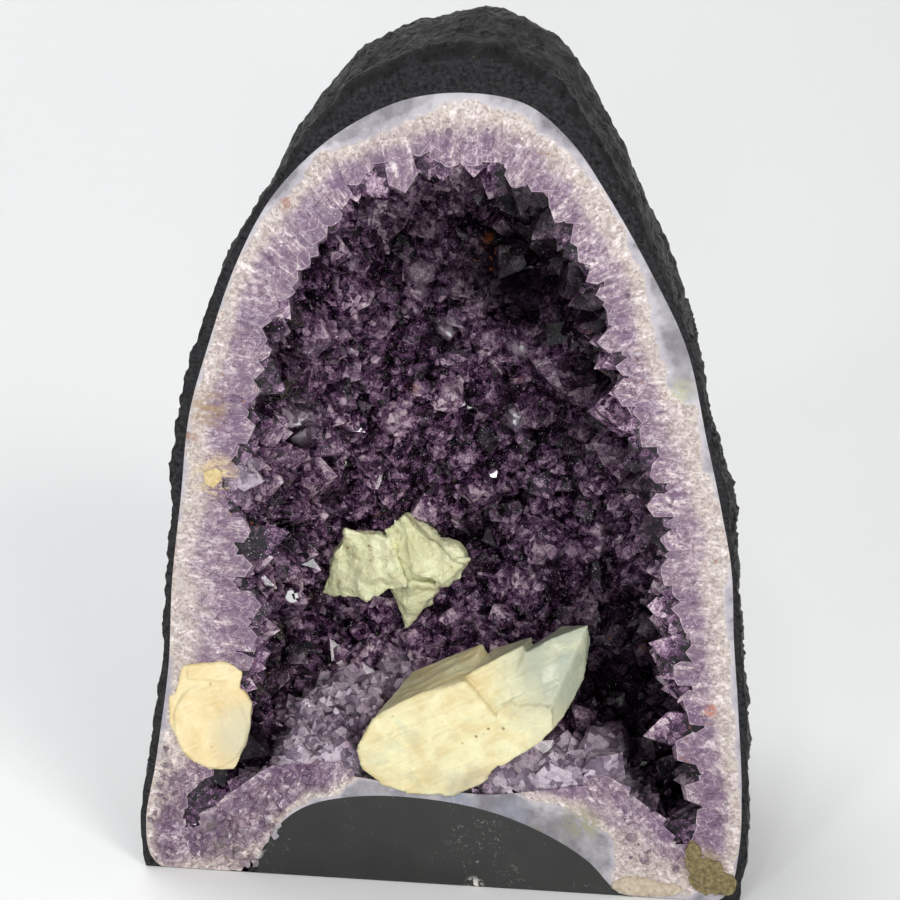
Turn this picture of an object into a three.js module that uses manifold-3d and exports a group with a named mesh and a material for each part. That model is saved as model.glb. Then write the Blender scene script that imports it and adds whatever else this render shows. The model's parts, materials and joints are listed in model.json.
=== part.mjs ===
// Amethyst cathedral geode, sawn open on its front and sawn flat underneath so that it stands.
// Millimetres, +Z up. The sawn face lies in the XZ plane and looks along -Y, and the rock runs back
// along +Y. The finished group is moved so that its origin is the middle of its box at the base.
//
// From outside to inside the geode is a basalt rind, an agate band, a lining of massive quartz and a
// druse of amethyst points. Calcite crystals sit on the druse, and a black footing fills the arch
// under the front.
import * as THREE from "three";
import { ConvexGeometry } from "three/addons/geometries/ConvexGeometry.js";
import { mergeVertices } from "three/addons/utils/BufferGeometryUtils.js";
import Module from "manifold-3d";

const wasm = await Module();
wasm.setup();

// ---- Driving dimensions ------------------------------------------------------------------------

const CENTRE_Z = 150; // height of the middle of the opening, which every layer is built round
const ROCK_DEPTH = 165;
const ROCK_CREST_Y = 48; // how far behind the face the rock is at its fullest
const ROCK_CREST_REACH = 42; // how far that fullness reaches to the front and back
const ROCK_SWELL = 0.078; // how much taller it is there than at the face
const ROCK_BOXINESS = 0.72; // 1 would round the back like a ball, and less makes it squarer
const ROCK_RISE = 0.95;
const KNOBS = 2.4; // height of the broad knobs on the rock
const HOLLOWS = 1.8; // depth of the narrower hollows between them
const AGATE_DEPTH = 126; // from the face to the back of the agate band
const AGATE_THICKNESS = 4.5;
const QUARTZ_DEPTH_LOSS = 15; // thickness of the quartz lining on the back wall
const AGATE_SHARE = 0.17; // share of the wall at the face that is agate
const RIM_SETBACK = 3; // how far the wall lies behind the tips of the points along the rim
const DRUSE_CRUST = 4; // thickness of the roots that the small amethyst points share
const CAVITY_BOXINESS = 0.62;
const CAVITY_RISE = 0.8;
const CAVITY_LUMPS = 2.2; // height of the swellings of the cavity wall
const BACK_WALL_SWELL = 14; // how far the middle of the cavity's back wall comes forward
const FOOTING_DEPTH = 62;
const GAP = 0.35; // clearance between neighbouring pieces
const FRONT_OVERRUN = 12; // how far a cutter reaches in front of the face
const AROUND = 48; // points round each layer
const RINGS = 7; // rings from the face to the back

// ---- Outlines on the sawn face, [x, z], anticlockwise from the right-hand side --------------------

const ROCK_OUTLINE = [
  [119.5, 150], [115, 180], [106.5, 214], [97.5, 247], [84, 279], [68.5, 309], [53, 333], [38, 348],
  [17, 355], [-6, 352], [-29, 343], [-46, 326.5], [-62, 305], [-77.5, 283], [-91, 255], [-101, 226],
  [-108, 196], [-110.5, 160], [-114.7, 125], [-117.4, 92], [-122.6, 60], [-128.8, 30], [-128.4, 4],
  [-118, -28], [-60, -46], [0, -50], [60, -46], [114, -28], [127.5, 4], [128.8, 34], [127.6, 70],
  [124.4, 105],
];
const AGATE_OUTLINE = [
  [118, 150], [113, 176], [106, 206], [97, 243], [83, 272], [65, 303], [51, 323], [34, 337],
  [12, 341], [-12, 338], [-33, 328], [-50, 315], [-66, 297], [-80, 271], [-92, 238], [-101, 208],
  [-106, 171], [-111, 135], [-114, 97], [-118, 71], [-122, 48], [-127, 22], [-125, 4], [-112, -4],
  [-86, -4], [-78, 8], [-70, 22], [-57, 33], [-36, 39], [-8, 40], [20, 36], [44, 27], [63, 15],
  [76, 1], [88, -4], [110, -4], [122, 4], [126, 24], [126, 52], [123, 90], [120, 121],
];
const LINING_OUTLINE = [
  [97, 150], [92, 175], [86, 200], [77, 226], [69, 250], [61, 274], [51, 293], [38, 306],
  [20, 316], [0, 318], [-20, 316], [-38, 305], [-52, 290], [-63, 272], [-73, 248], [-80, 222],
  [-84, 195], [-86, 168], [-84, 140], [-83, 112], [-85, 84], [-91, 60], [-104, 42], [-111, 26],
  [-110, 17], [-101, 21], [-87, 36], [-66, 50], [-42, 52], [-12, 49], [20, 47], [46, 51],
  [66, 53], [82, 42], [97, 25], [107, 22], [112, 38], [110, 62], [106, 90], [101, 122],
];

// ---- Crystals that stand out on their own ---------------------------------------------------------

// Points cut by the saw round the mouth of the cavity: [tip x, tip z, radius, how far back].
const RIM_POINTS = [
  [28, 304, 11, 3], [12, 312, 7, 4], [4, 311, 6.5, 2], [-13, 301, 10.5, 4], [-27, 308, 7, 3],
  [-36, 295, 8.5, 3], [-47, 285, 8, 4], [-54, 268, 9, 3], [-63, 253, 8.5, 4], [-71, 238, 8, 3],
  [-73, 221, 7.5, 4], [-74, 203, 9, 3], [-80, 184, 7.5, 4], [-77, 159, 9.5, 3], [-76, 143, 8, 4],
  [-73, 126, 9, 3], [-75, 110, 8, 4], [44, 292, 8.5, 4], [54, 277, 9, 3], [61, 262, 8, 4],
  [62, 245, 8.5, 3], [68, 224, 9.5, 4], [78, 207, 8, 3], [82, 192, 7.5, 4], [83, 178, 9.5, 3],
  [89, 163, 7.5, 4], [88, 149, 9, 3], [94, 133, 8, 4], [95, 105, 8.5, 3], [100, 88, 8, 4],
  [96, 73, 10, 3], [101, 54, 8, 4],
];

// Larger points inside the cavity: [angle round the opening in degrees, how far in from the face to
// the middle of the back wall from 0 to 1, radius, length].
const CAVITY_POINTS = [
  [118, 0.52, 12, 26], [132, 0.36, 11, 24], [97, 0.6, 11, 22], [150, 0.55, 12, 24],
  [20, 0.48, 12, 25], [-22, 0.5, 13, 26], [42, 0.62, 11, 22], [-48, 0.42, 12, 22],
];

// Rows of small points: [how far in from the face to the middle of the back wall, how many].
const DRUSE_ROWS = [[0.08, 19], [0.25, 18], [0.42, 16], [0.58, 14], [0.72, 11], [0.85, 8], [0.96, 3]];
const DRUSE_RADIUS = 12.5;
const DRUSE_LENGTH = 1.5; // length of a small point for each millimetre of its radius
const DRUSE_TILT = 0.3; // how far a small point may lean
const RIM_POINT_LENGTH = 34;
const RIM_AIM_DEPTH = 12; // the points of the rim aim at a line this far behind the face,
const RIM_AIM_LOW = 105; // from this height
const RIM_AIM_HIGH = 235; // to this one

// Calcite crystals, each a few intergrown blades given by their corners [x, y, z].
const CALCITE_FRONT = [
  [
    [-36, -9, 64], [-30, -9, 76], [-14, -9, 87], [10, -9, 96], [14, 34, 98], [26, 30, 78],
    [34, -9, 66], [22, -9, 51], [6, -9, 41], [-22, -9, 42], [-34, -9, 52], [-30, 30, 60],
    [-16, 36, 82], [6, 34, 50],
  ],
  [
    [-4, 6, 84], [14, 4, 99], [34, 8, 110], [35, 12, 100], [20, 34, 96], [36, 30, 104], [4, 2, 70],
    [24, 3, 72], [6, 32, 74],
  ],
  [
    [8, 1, 62], [22, 8, 98], [44, 12, 111], [60, 16, 117], [61, 20, 108], [59, 14, 93],
    [52, 6, 80], [40, -6, 70], [28, -6, 56], [30, 40, 84], [48, 38, 106], [18, 38, 72],
  ],
];
const CALCITE_BACK = [
  [
    [-34, 72, 132], [-24, 66, 142], [2, 68, 118], [-6, 62, 112], [-18, 60, 116], [-24, 96, 130],
    [-8, 94, 120],
  ],
  [
    [-50, 68, 134], [-30, 64, 132], [-22, 62, 110], [-40, 64, 102], [-62, 72, 100],
    [-58, 98, 112], [-34, 98, 120],
  ],
  [[-20, 64, 112], [-8, 66, 110], [-12, 74, 98], [-24, 70, 86], [-30, 74, 104], [-18, 98, 104]],
  [[-8, 66, 122], [5, 72, 121], [1, 74, 110], [-10, 66, 108], [-4, 96, 116]],
];
const CALCITE_LEFT = [
  [
    [-109, -9, 98], [-86, -9, 101], [-80, -9, 96], [-83, -9, 80], [-114, -9, 80], [-106, 26, 94],
    [-88, 24, 92],
  ],
  [
    [-117, -9, 84], [-82, -9, 92], [-77, -9, 84], [-79, -9, 66], [-85, -9, 48], [-100, -9, 47],
    [-113, -9, 54], [-118, -9, 68], [-106, 30, 78], [-84, 26, 72], [-94, 26, 54],
  ],
];

// Mineral patches that the saw cut flush with the face, [x, y, z] corners of each.
const CLAY_PATCH = [
  [
    [108, -9, 3], [107, -9, 15], [112, -9, 25], [118, -9, 18], [121, -9, 8], [117, -9, 2],
    [113, 9, 10],
  ],
];
const BEIGE_PATCH = [
  [[80, -9, 2], [83, -9, 11], [92, -9, 10], [99, -9, 4], [97, -9, 1.5], [90, 8, 4]],
];
const CREAM_PATCH = [
  [
    [-101, -9, 186], [-90, -9, 191], [-84, -9, 187], [-86, -9, 179], [-92, -9, 172],
    [-99, -9, 176], [-92, 9, 181],
  ],
];

// ---- Small helpers --------------------------------------------------------------------------------

// A repeatable random number from 0 to 1 for each pair of whole numbers.
function jitter(i, j) {
  const wave = Math.sin(i * 127.1 + j * 311.7 + 4.3) * 43758.5453;
  return wave - Math.floor(wave);
}

// A closed geometry as a manifold solid.
function solidFrom(geometry) {
  const bare = geometry.index ? geometry.toNonIndexed() : geometry.clone();
  for (const name of Object.keys(bare.attributes)) {
    if (name !== "position") bare.deleteAttribute(name);
  }
  const merged = mergeVertices(bare, 1e-4);
  return new wasm.Manifold(
    new wasm.Mesh({
      numProp: 3,
      vertProperties: merged.attributes.position.array,
      triVerts: new Uint32Array(merged.index.array),
    }),
  );
}

// A manifold solid as a geometry again.
function geometryFrom(solid) {
  const mesh = solid.getMesh();
  const geometry = new THREE.BufferGeometry();
  geometry.setAttribute("position", new THREE.BufferAttribute(mesh.vertProperties, 3));
  geometry.setIndex(new THREE.BufferAttribute(mesh.triVerts, 1));
  geometry.computeVertexNormals();
  return geometry;
}

// The largest body of a solid, without the slivers that a cut can leave beside it.
function mainBody(solid) {
  const bodies = solid.decompose();
  bodies.sort((a, b) => b.volume() - a.volume());
  return bodies[0];
}

function unionOf(solids) {
  return solids.reduce((all, next) => all.add(next));
}

function boxSolid(low, high) {
  const size = high.map((value, i) => value - low[i]);
  const box = new THREE.BoxGeometry(...size);
  box.translate(...low.map((value, i) => value + size[i] / 2));
  return solidFrom(box);
}

// ---- Layers ---------------------------------------------------------------------------------------

// The distance from the middle of the opening to an outline, as a function of the angle.
function radiiOf(outline) {
  const corners = outline.map(([x, z]) => new THREE.Vector3(x, 0, z - CENTRE_Z));
  const curve = new THREE.CatmullRomCurve3(corners, true, "centripetal");
  const dense = curve.getPoints(outline.length * 12).slice(0, -1);
  const polar = dense.map((p) => [Math.atan2(p.z, p.x), Math.hypot(p.x, p.z)]);
  polar.sort((a, b) => a[0] - b[0]);
  return (angle) => {
    const turned = Math.atan2(Math.sin(angle), Math.cos(angle));
    const after = polar.findIndex(([a]) => a > turned);
    const next = polar[after < 0 ? 0 : after];
    const last = polar[after <= 0 ? polar.length - 1 : after - 1];
    const span = (next[0] - last[0] + 2 * Math.PI) % (2 * Math.PI);
    const part = ((turned - last[0] + 2 * Math.PI) % (2 * Math.PI)) / (span || 1);
    return last[1] + (next[1] - last[1]) * part;
  };
}

const rockRadius = radiiOf(ROCK_OUTLINE);
const agateRadius = radiiOf(AGATE_OUTLINE);
const liningRadius = radiiOf(LINING_OUTLINE);

// A closed bowl-shaped solid from rings of points: place(angle, step) gives the point at an angle on
// the ring that lies step of the way from the face, at 0, to the pole at the back, at 1.
function bowl(place, overrun = 0) {
  const points = [];
  const faces = [];
  const rows = [];
  const addRow = (maker) => {
    rows.push(points.length);
    for (let j = 0; j < AROUND; j++) points.push(maker((j / AROUND) * 2 * Math.PI));
  };
  if (overrun > 0) addRow((angle) => place(angle, 0).setY(-overrun));
  for (let i = 0; i < RINGS; i++) addRow((angle) => place(angle, i / RINGS));
  const pole = points.push(place(0, 1)) - 1;
  const front = points.push(new THREE.Vector3(0, -overrun, CENTRE_Z)) - 1;
  for (let j = 0; j < AROUND; j++) {
    const k = (j + 1) % AROUND;
    faces.push([front, rows[0] + j, rows[0] + k]);
    for (let i = 0; i + 1 < rows.length; i++) {
      const [a, b, c, d] = [rows[i] + j, rows[i] + k, rows[i + 1] + k, rows[i + 1] + j];
      faces.push([a, d, c], [a, c, b]);
    }
    faces.push([pole, rows.at(-1) + k, rows.at(-1) + j]);
  }
  const geometry = new THREE.BufferGeometry();
  const flat = faces.flat().flatMap((i) => points[i].toArray());
  geometry.setAttribute("position", new THREE.Float32BufferAttribute(flat, 3));
  return solidFrom(geometry);
}

// A point of the cavity side of the geode, inset from the agate's outside at 0 to the lining's
// inside at 1 and further in beyond 1, with a back wall that swells towards the middle.
function cavityPoint(angle, step, inset, depth) {
  const turn = (step * Math.PI) / 2;
  const across = Math.cos(turn) ** CAVITY_BOXINESS;
  const share = Math.min(inset, 1);
  const beyond = Math.max(inset - 1, 0) * DRUSE_CRUST;
  const wall = liningRadius(angle) + RIM_SETBACK;
  const radius = agateRadius(angle) * (1 - share) + wall * share - beyond;
  const lump = CAVITY_LUMPS * Math.sin(3 * angle + 5 * step) * Math.sin(Math.PI * step);
  const swell = BACK_WALL_SWELL * (1 - across) ** 2;
  const back = depth * Math.sin(turn) ** CAVITY_RISE - swell * Math.sin(turn) + lump;
  return new THREE.Vector3(
    Math.cos(angle) * radius * across,
    Math.max(back, 0),
    CENTRE_Z + Math.sin(angle) * radius * across,
  );
}

// The rough outside of the rock, with knobs and hollows of a few millimetres.
function rockPoint(angle, step) {
  const turn = (step * Math.PI) / 2;
  const y = ROCK_DEPTH * Math.sin(turn) ** ROCK_RISE;
  const upward = Math.max(Math.sin(angle), 0) ** 10;
  const fullness = 1 + ROCK_SWELL * upward * Math.exp(-(((y - ROCK_CREST_Y) / ROCK_CREST_REACH) ** 2));
  const across = Math.cos(turn) ** ROCK_BOXINESS * (step > 0 ? fullness : 1);
  const waves = KNOBS * Math.sin(7 * angle + 9 * step) + HOLLOWS * Math.sin(11 * angle - 13 * step + 1);
  const knob = waves * Math.sin(Math.PI * step);
  const radius = rockRadius(angle) * across + knob * Math.min(1, across * 3);
  return new THREE.Vector3(Math.cos(angle) * radius, y, CENTRE_Z + Math.sin(angle) * radius);
}

// How far behind the face the back of each layer is.
const agateBack = AGATE_DEPTH;
const quartzBack = AGATE_DEPTH - AGATE_THICKNESS;
const liningBack = quartzBack - QUARTZ_DEPTH_LOSS;
const crustBack = liningBack - DRUSE_CRUST;

// The space inside a layer's outside, open in front of the face and smaller all round by `shrink`.
const insideOf = (inset, depth, shrink = 0) =>
  bowl((angle, step) => {
    const p = cavityPoint(angle, step, inset, depth);
    const out = new THREE.Vector3(p.x, 0, p.z - CENTRE_Z);
    const reach = out.length();
    out.multiplyScalar(reach > shrink ? (reach - shrink) / reach : 1);
    const y = step > 0 ? Math.max(p.y - shrink, 0) : p.y;
    return new THREE.Vector3(out.x, y, CENTRE_Z + out.z);
  }, FRONT_OVERRUN);

const aboveBase = boxSolid([-300, -100, 0], [300, 300, 500]);
const behindFace = boxSolid([-300, 0, -100], [300, 300, 500]);
const kept = aboveBase.intersect(behindFace);

// ---- Crystals -------------------------------------------------------------------------------------

// A quartz point: a six-sided prism that swells a little and closes in a pyramid a little off its
// axis. It stands on its root and its tip lies along `way`.
function quartzPoint(root, way, radius, length, seed, extra = 0) {
  const pyramid = radius * (1.05 + 0.3 * jitter(seed, 1));
  const shoulder = Math.max(length - pyramid, length * 0.3);
  const profile = [
    new THREE.Vector2(0, -extra),
    new THREE.Vector2(radius * 0.8 + extra, -extra),
    new THREE.Vector2(radius + extra, shoulder),
    new THREE.Vector2(0, length + extra * 1.6),
  ];
  const shape = new THREE.LatheGeometry(profile, 6, jitter(seed, 2) * Math.PI);
  shape.scale(1, 1, 0.86 + 0.2 * jitter(seed, 3));
  const up = new THREE.Vector3(0, 1, 0);
  const turn = new THREE.Quaternion().setFromUnitVectors(up, way.clone().normalize());
  shape.applyQuaternion(turn);
  shape.translate(root.x, root.y, root.z);
  return solidFrom(shape);
}

// Intergrown blades, each the hull of its corners. `extra` pushes every corner out from its middle.
function blades(corners, extra = 0) {
  const hulls = corners.map((blade) => {
    const points = blade.map((corner) => new THREE.Vector3(...corner));
    const middle = new THREE.Vector3();
    points.forEach((p) => middle.addScaledVector(p, 1 / points.length));
    const grown = points.map((p) => p.clone().add(p.clone().sub(middle).setLength(extra)));
    return solidFrom(new ConvexGeometry(grown));
  });
  return unionOf(hulls);
}

// A point of the rim: its tip is given, and it points from the wall to the middle of the opening.
function rimPoint([x, z, radius, back], seed, extra = 0) {
  const level = THREE.MathUtils.clamp(z, RIM_AIM_LOW, RIM_AIM_HIGH);
  const tip = new THREE.Vector3(x, back + 2, z);
  const way = new THREE.Vector3(0, RIM_AIM_DEPTH, level).sub(tip).normalize();
  const root = tip.clone().addScaledVector(way, -RIM_POINT_LENGTH);
  return quartzPoint(root, way, radius, RIM_POINT_LENGTH, seed, extra);
}

// The inward direction of the druse's wall at an angle and step.
function inward(angle, step) {
  const at = (a, s) => cavityPoint(a, s, 2, crustBack);
  const round = at(angle + 0.02, step).sub(at(angle - 0.02, step));
  const down = at(angle, Math.min(step + 0.02, 0.99)).sub(at(angle, step - 0.02));
  return round.cross(down).normalize();
}

function cavityCrystal([degrees, step, radius, length], seed, extra = 0) {
  const angle = THREE.MathUtils.degToRad(degrees);
  const way = inward(angle, step);
  const root = cavityPoint(angle, step, 2, crustBack).addScaledVector(way, -6);
  return quartzPoint(root, way, radius, length, seed, extra);
}

// The angle at a share of the way round the opening, measured along its outline.
function angleRound(share) {
  const turns = Array.from({ length: 361 }, (_, i) => (i / 180) * Math.PI);
  const spots = turns.map((a) => new THREE.Vector2(Math.cos(a), Math.sin(a)));
  spots.forEach((spot, i) => spot.multiplyScalar(liningRadius(turns[i])));
  const run = [0];
  for (let i = 1; i < spots.length; i++) run.push(run[i - 1] + spots[i].distanceTo(spots[i - 1]));
  const wanted = (share - Math.floor(share)) * run.at(-1);
  return turns[run.findIndex((length) => length >= wanted)];
}

// The many small points of the druse, in staggered rows from the mouth to the back wall.
function drusePoints() {
  const found = [];
  DRUSE_ROWS.forEach(([step, count], i) => {
    for (let j = 0; j < count; j++) {
      const seed = 100 + i * 40 + j;
      const angle = angleRound((j + 0.5 * (i % 2) + 0.4 * jitter(seed, 5)) / count);
      const way = inward(angle, step);
      way.x += DRUSE_TILT * (jitter(seed, 6) - 0.5);
      way.z += DRUSE_TILT * (jitter(seed, 7) - 0.5);
      const root = cavityPoint(angle, step, 2, crustBack).addScaledVector(way, -1);
      const radius = DRUSE_RADIUS * (1 + 0.35 * jitter(seed, 8));
      found.push(quartzPoint(root, way, radius, radius * DRUSE_LENGTH, seed));
    }
  });
  return found;
}

// ---- The pieces -----------------------------------------------------------------------------------

const liningSpace = insideOf(1, liningBack, GAP);
const agateCutter = insideOf(0, agateBack);

// Crystals and patches first, because the layers are cut round them. Each entry keeps the piece and
// the slightly larger shape that its neighbours are cut by. The amethyst points stop at the quartz
// lining, so only the druse is cut round those.
const standing = [];

function place(name, piece, cutter, throughWall) {
  const free = standing.reduce((left, other) => left.subtract(other.cutter), piece);
  standing.push({ name, solid: mainBody(free), cutter, throughWall });
}

function inclusion(name, corners) {
  place(name, blades(corners).intersect(wallSpace), blades(corners, GAP), true);
}

const wallSpace = insideOf(0, agateBack, GAP).intersect(kept);
inclusion("calcite_front", CALCITE_FRONT);
inclusion("calcite_left", CALCITE_LEFT);
inclusion("calcite_back", CALCITE_BACK);
inclusion("clay_patch", CLAY_PATCH);
inclusion("beige_patch", BEIGE_PATCH);
inclusion("cream_patch", CREAM_PATCH);

const crystalSpace = liningSpace.intersect(kept);
RIM_POINTS.forEach((entry, i) => {
  const number = String(i + 1).padStart(2, "0");
  const whole = rimPoint(entry, i).intersect(crystalSpace);
  place(`rim_point_${number}`, whole, rimPoint(entry, i, GAP), false);
});
CAVITY_POINTS.forEach((entry, i) => {
  const seed = 60 + i;
  const whole = cavityCrystal(entry, seed).intersect(crystalSpace);
  place(`cavity_point_${i + 1}`, whole, cavityCrystal(entry, seed, GAP), false);
});

const cutRound = (solid, pieces) => pieces.reduce((left, other) => left.subtract(other.cutter), solid);
const inclusions = standing.filter((piece) => piece.throughWall);

function amethystDruse() {
  const cavity = insideOf(2, crustBack);
  const crust = liningSpace.subtract(cavity);
  const grown = unionOf([crust, ...drusePoints()]);
  return cutRound(grown.intersect(crystalSpace), standing);
}

// The druse is in eight pieces, one for each side of the cavity, so that each piece stays simple and
// the cavity stays open. Each entry is a name and the box that the piece lies in.
const DRUSE_TOP = 238; // the top pieces lie above this height
const DRUSE_FLOOR = 102; // the floor pieces lie below this height
const DRUSE_MIDDLE = 170; // the two back pieces meet at this height
const DRUSE_BACK = 78; // the back pieces lie behind this
const FAR = 200;
const DRUSE_PARTS = [
  ["top_left", [-FAR, -1, DRUSE_TOP], [0, DRUSE_BACK, 2 * FAR]],
  ["top_right", [0, -1, DRUSE_TOP], [FAR, DRUSE_BACK, 2 * FAR]],
  ["left", [-FAR, -1, DRUSE_FLOOR], [0, DRUSE_BACK, DRUSE_TOP]],
  ["right", [0, -1, DRUSE_FLOOR], [FAR, DRUSE_BACK, DRUSE_TOP]],
  ["floor_left", [-FAR, -1, -1], [0, DRUSE_BACK, DRUSE_FLOOR]],
  ["floor_right", [0, -1, -1], [FAR, DRUSE_BACK, DRUSE_FLOOR]],
  ["back_low", [-FAR, DRUSE_BACK, -1], [FAR, FAR, DRUSE_MIDDLE]],
  ["back_high", [-FAR, DRUSE_BACK, DRUSE_MIDDLE], [FAR, FAR, 2 * FAR]],
];

// The part of a solid in a box, set back from the box's sides by half of the gap.
function partInBox(solid, low, high) {
  const inner = boxSolid(low.map((v) => v + GAP / 2), high.map((v) => v - GAP / 2));
  return mainBody(solid.intersect(inner));
}

function quartzLining() {
  const outside = insideOf(AGATE_SHARE, quartzBack, GAP);
  const hollow = insideOf(1, liningBack);
  return mainBody(cutRound(outside.intersect(kept).subtract(hollow), inclusions));
}

function agateBand() {
  const outside = insideOf(0, agateBack, GAP);
  const hollow = insideOf(AGATE_SHARE, quartzBack);
  return mainBody(cutRound(outside.intersect(kept).subtract(hollow), inclusions));
}

const FOOTING_LOW = [-79, 0, 0];
const FOOTING_HIGH = [75, FOOTING_DEPTH, 60];
const rock = bowl(rockPoint).intersect(kept);

function footing() {
  const slab = boxSolid(FOOTING_LOW, FOOTING_HIGH);
  return mainBody(slab.intersect(rock).subtract(agateCutter));
}

function basaltRind() {
  const low = [FOOTING_LOW[0] - GAP, -5, -5];
  const high = [FOOTING_HIGH[0] + GAP, FOOTING_DEPTH + GAP, FOOTING_HIGH[2] + GAP];
  return mainBody(rock.subtract(agateCutter).subtract(boxSolid(low, high)));
}

// ---- Materials and assembly -----------------------------------------------------------------------

const material = (color, roughness) =>
  new THREE.MeshStandardMaterial({ color, roughness, metalness: 0 });
const blackRock = material(0x2b2a2d, 0.8);
const blackPaint = material(0x3a3b3a, 0.6);
const agate = material(0xb4adb2, 0.25);
const paleQuartz = material(0xb9a9b8, 0.25);
const amethyst = material(0x3b2540, 0.15);
const lilac = material(0x8f7796, 0.15);
const calcite = material(0xe9deb2, 0.35);
const clay = material(0x8c7f5d, 0.9);
const beige = material(0xc9bfa9, 0.6);

const geode = new THREE.Group();

function addPiece(name, solid, look) {
  const mesh = new THREE.Mesh(geometryFrom(solid), look);
  mesh.name = name;
  geode.add(mesh);
}

addPiece("basalt_rind", basaltRind(), blackRock);
addPiece("footing", footing(), blackPaint);
addPiece("agate_band", agateBand(), agate);
addPiece("quartz_lining", quartzLining(), paleQuartz);
const druse = amethystDruse();
for (const [name, low, high] of DRUSE_PARTS) {
  addPiece(`amethyst_druse_${name}`, partInBox(druse, low, high), amethyst);
}

const LOOKS = { calcite, clay, beige, cream: calcite, rim: lilac, cavity: amethyst };
for (const { name, solid } of standing) {
  addPiece(name, solid, LOOKS[name.split("_")[0]]);
}

const box = new THREE.Box3().setFromObject(geode, true);
const middle = box.getCenter(new THREE.Vector3());
geode.position.set(-middle.x, -middle.y, -box.min.z);

export default geode;
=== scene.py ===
"""Looks of an amethyst cathedral geode: black rind, agate and quartz rim, druse, calcites, footing."""
import functools
import json
import logging
import math
from dataclasses import dataclass, field
from enum import Enum

import bmesh
import bpy
import numpy as np
from mathutils import Matrix, Vector, noise

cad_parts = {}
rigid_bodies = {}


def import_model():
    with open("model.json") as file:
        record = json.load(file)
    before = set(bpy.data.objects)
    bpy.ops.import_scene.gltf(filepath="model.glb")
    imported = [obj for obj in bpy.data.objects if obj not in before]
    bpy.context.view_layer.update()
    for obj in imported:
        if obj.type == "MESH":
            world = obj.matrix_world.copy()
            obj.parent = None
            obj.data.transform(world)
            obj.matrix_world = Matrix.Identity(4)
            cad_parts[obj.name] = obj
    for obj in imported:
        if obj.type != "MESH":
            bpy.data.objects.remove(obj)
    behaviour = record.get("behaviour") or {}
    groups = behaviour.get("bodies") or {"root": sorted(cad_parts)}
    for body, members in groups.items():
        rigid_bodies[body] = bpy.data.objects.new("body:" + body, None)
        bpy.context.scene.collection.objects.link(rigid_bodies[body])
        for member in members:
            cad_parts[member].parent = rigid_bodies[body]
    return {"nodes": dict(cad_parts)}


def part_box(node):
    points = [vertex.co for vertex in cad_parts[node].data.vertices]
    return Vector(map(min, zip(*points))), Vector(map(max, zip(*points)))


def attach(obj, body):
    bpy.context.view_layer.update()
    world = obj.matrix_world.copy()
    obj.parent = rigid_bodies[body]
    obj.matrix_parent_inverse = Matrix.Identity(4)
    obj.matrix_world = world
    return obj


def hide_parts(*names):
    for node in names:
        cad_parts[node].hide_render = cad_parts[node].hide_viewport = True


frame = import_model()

LOG = logging.getLogger("geode")
MM = 0.001
BODY = "root"
Spot = tuple[float, float, float]
Tint = tuple[float, float, float, float]
Socket = bpy.types.NodeSocket


def srgb(red: int, green: int, blue: int) -> Tint:
    """Turns a colour of 0 to 255 steps into the linear colour that a shader takes.

    Args:
        red, green, blue: The colour as a screen shows it.

    Returns:
        Linear red, green, blue and an alpha of 1.
    """
    def one(step: int) -> float:
        """One channel, made linear."""
        part = step / 255
        return part / 12.92 if part <= 0.04045 else ((part + 0.055) / 1.055) ** 2.4

    return one(red), one(green), one(blue), 1.0


def saw_tooth(value: float) -> float:
    """What is left of a number above its whole part."""
    return value - math.floor(value)


# ---- The geode's form -------------------------------------------------------------------------


@dataclass(frozen=True)
class Outline:
    """A closed outline on the sawn face, as corners x, z in millimetres, joined by a smooth curve."""

    corners: tuple[tuple[float, float], ...]
    middle_z: float = 150.0
    per_corner: int = 14

    def curve(self) -> np.ndarray:
        """Runs a centripetal Catmull-Rom curve through the corners.

        Returns:
            Points x, z in order round the outline.
        """
        knots = np.array(self.corners)
        before, start, end, after = (np.roll(knots, shift, axis=0) for shift in (1, 0, -1, -2))

        def gap(a: np.ndarray, b: np.ndarray) -> np.ndarray:
            """The centripetal knot spacing between corners."""
            return np.sqrt(np.linalg.norm(b - a, axis=1))[:, None]

        t1 = gap(before, start)
        t2 = t1 + gap(start, end)
        t3 = t2 + gap(end, after)
        rows = []
        for i in range(self.per_corner):
            t = t1 + (t2 - t1) * i / self.per_corner
            a1 = (t1 - t) / t1 * before + t / t1 * start
            a2 = (t2 - t) / (t2 - t1) * start + (t - t1) / (t2 - t1) * end
            a3 = (t3 - t) / (t3 - t2) * end + (t - t2) / (t3 - t2) * after
            b1 = (t2 - t) / t2 * a1 + t / t2 * a2
            b2 = (t3 - t) / (t3 - t1) * a2 + (t - t1) / (t3 - t1) * a3
            rows.append((t2 - t) / (t2 - t1) * b1 + (t - t1) / (t2 - t1) * b2)
        return np.stack(rows, axis=1).reshape(-1, 2)

    def radius(self, angle: np.ndarray) -> np.ndarray:
        """The distance from the middle of the opening to the outline at each angle."""
        points = self.curve() - (0.0, self.middle_z)
        turns = np.arctan2(points[:, 1], points[:, 0])
        order = np.argsort(turns)
        reach = np.hypot(points[:, 0], points[:, 1])
        return np.interp(angle, turns[order], reach[order], period=2 * math.pi)


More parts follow.
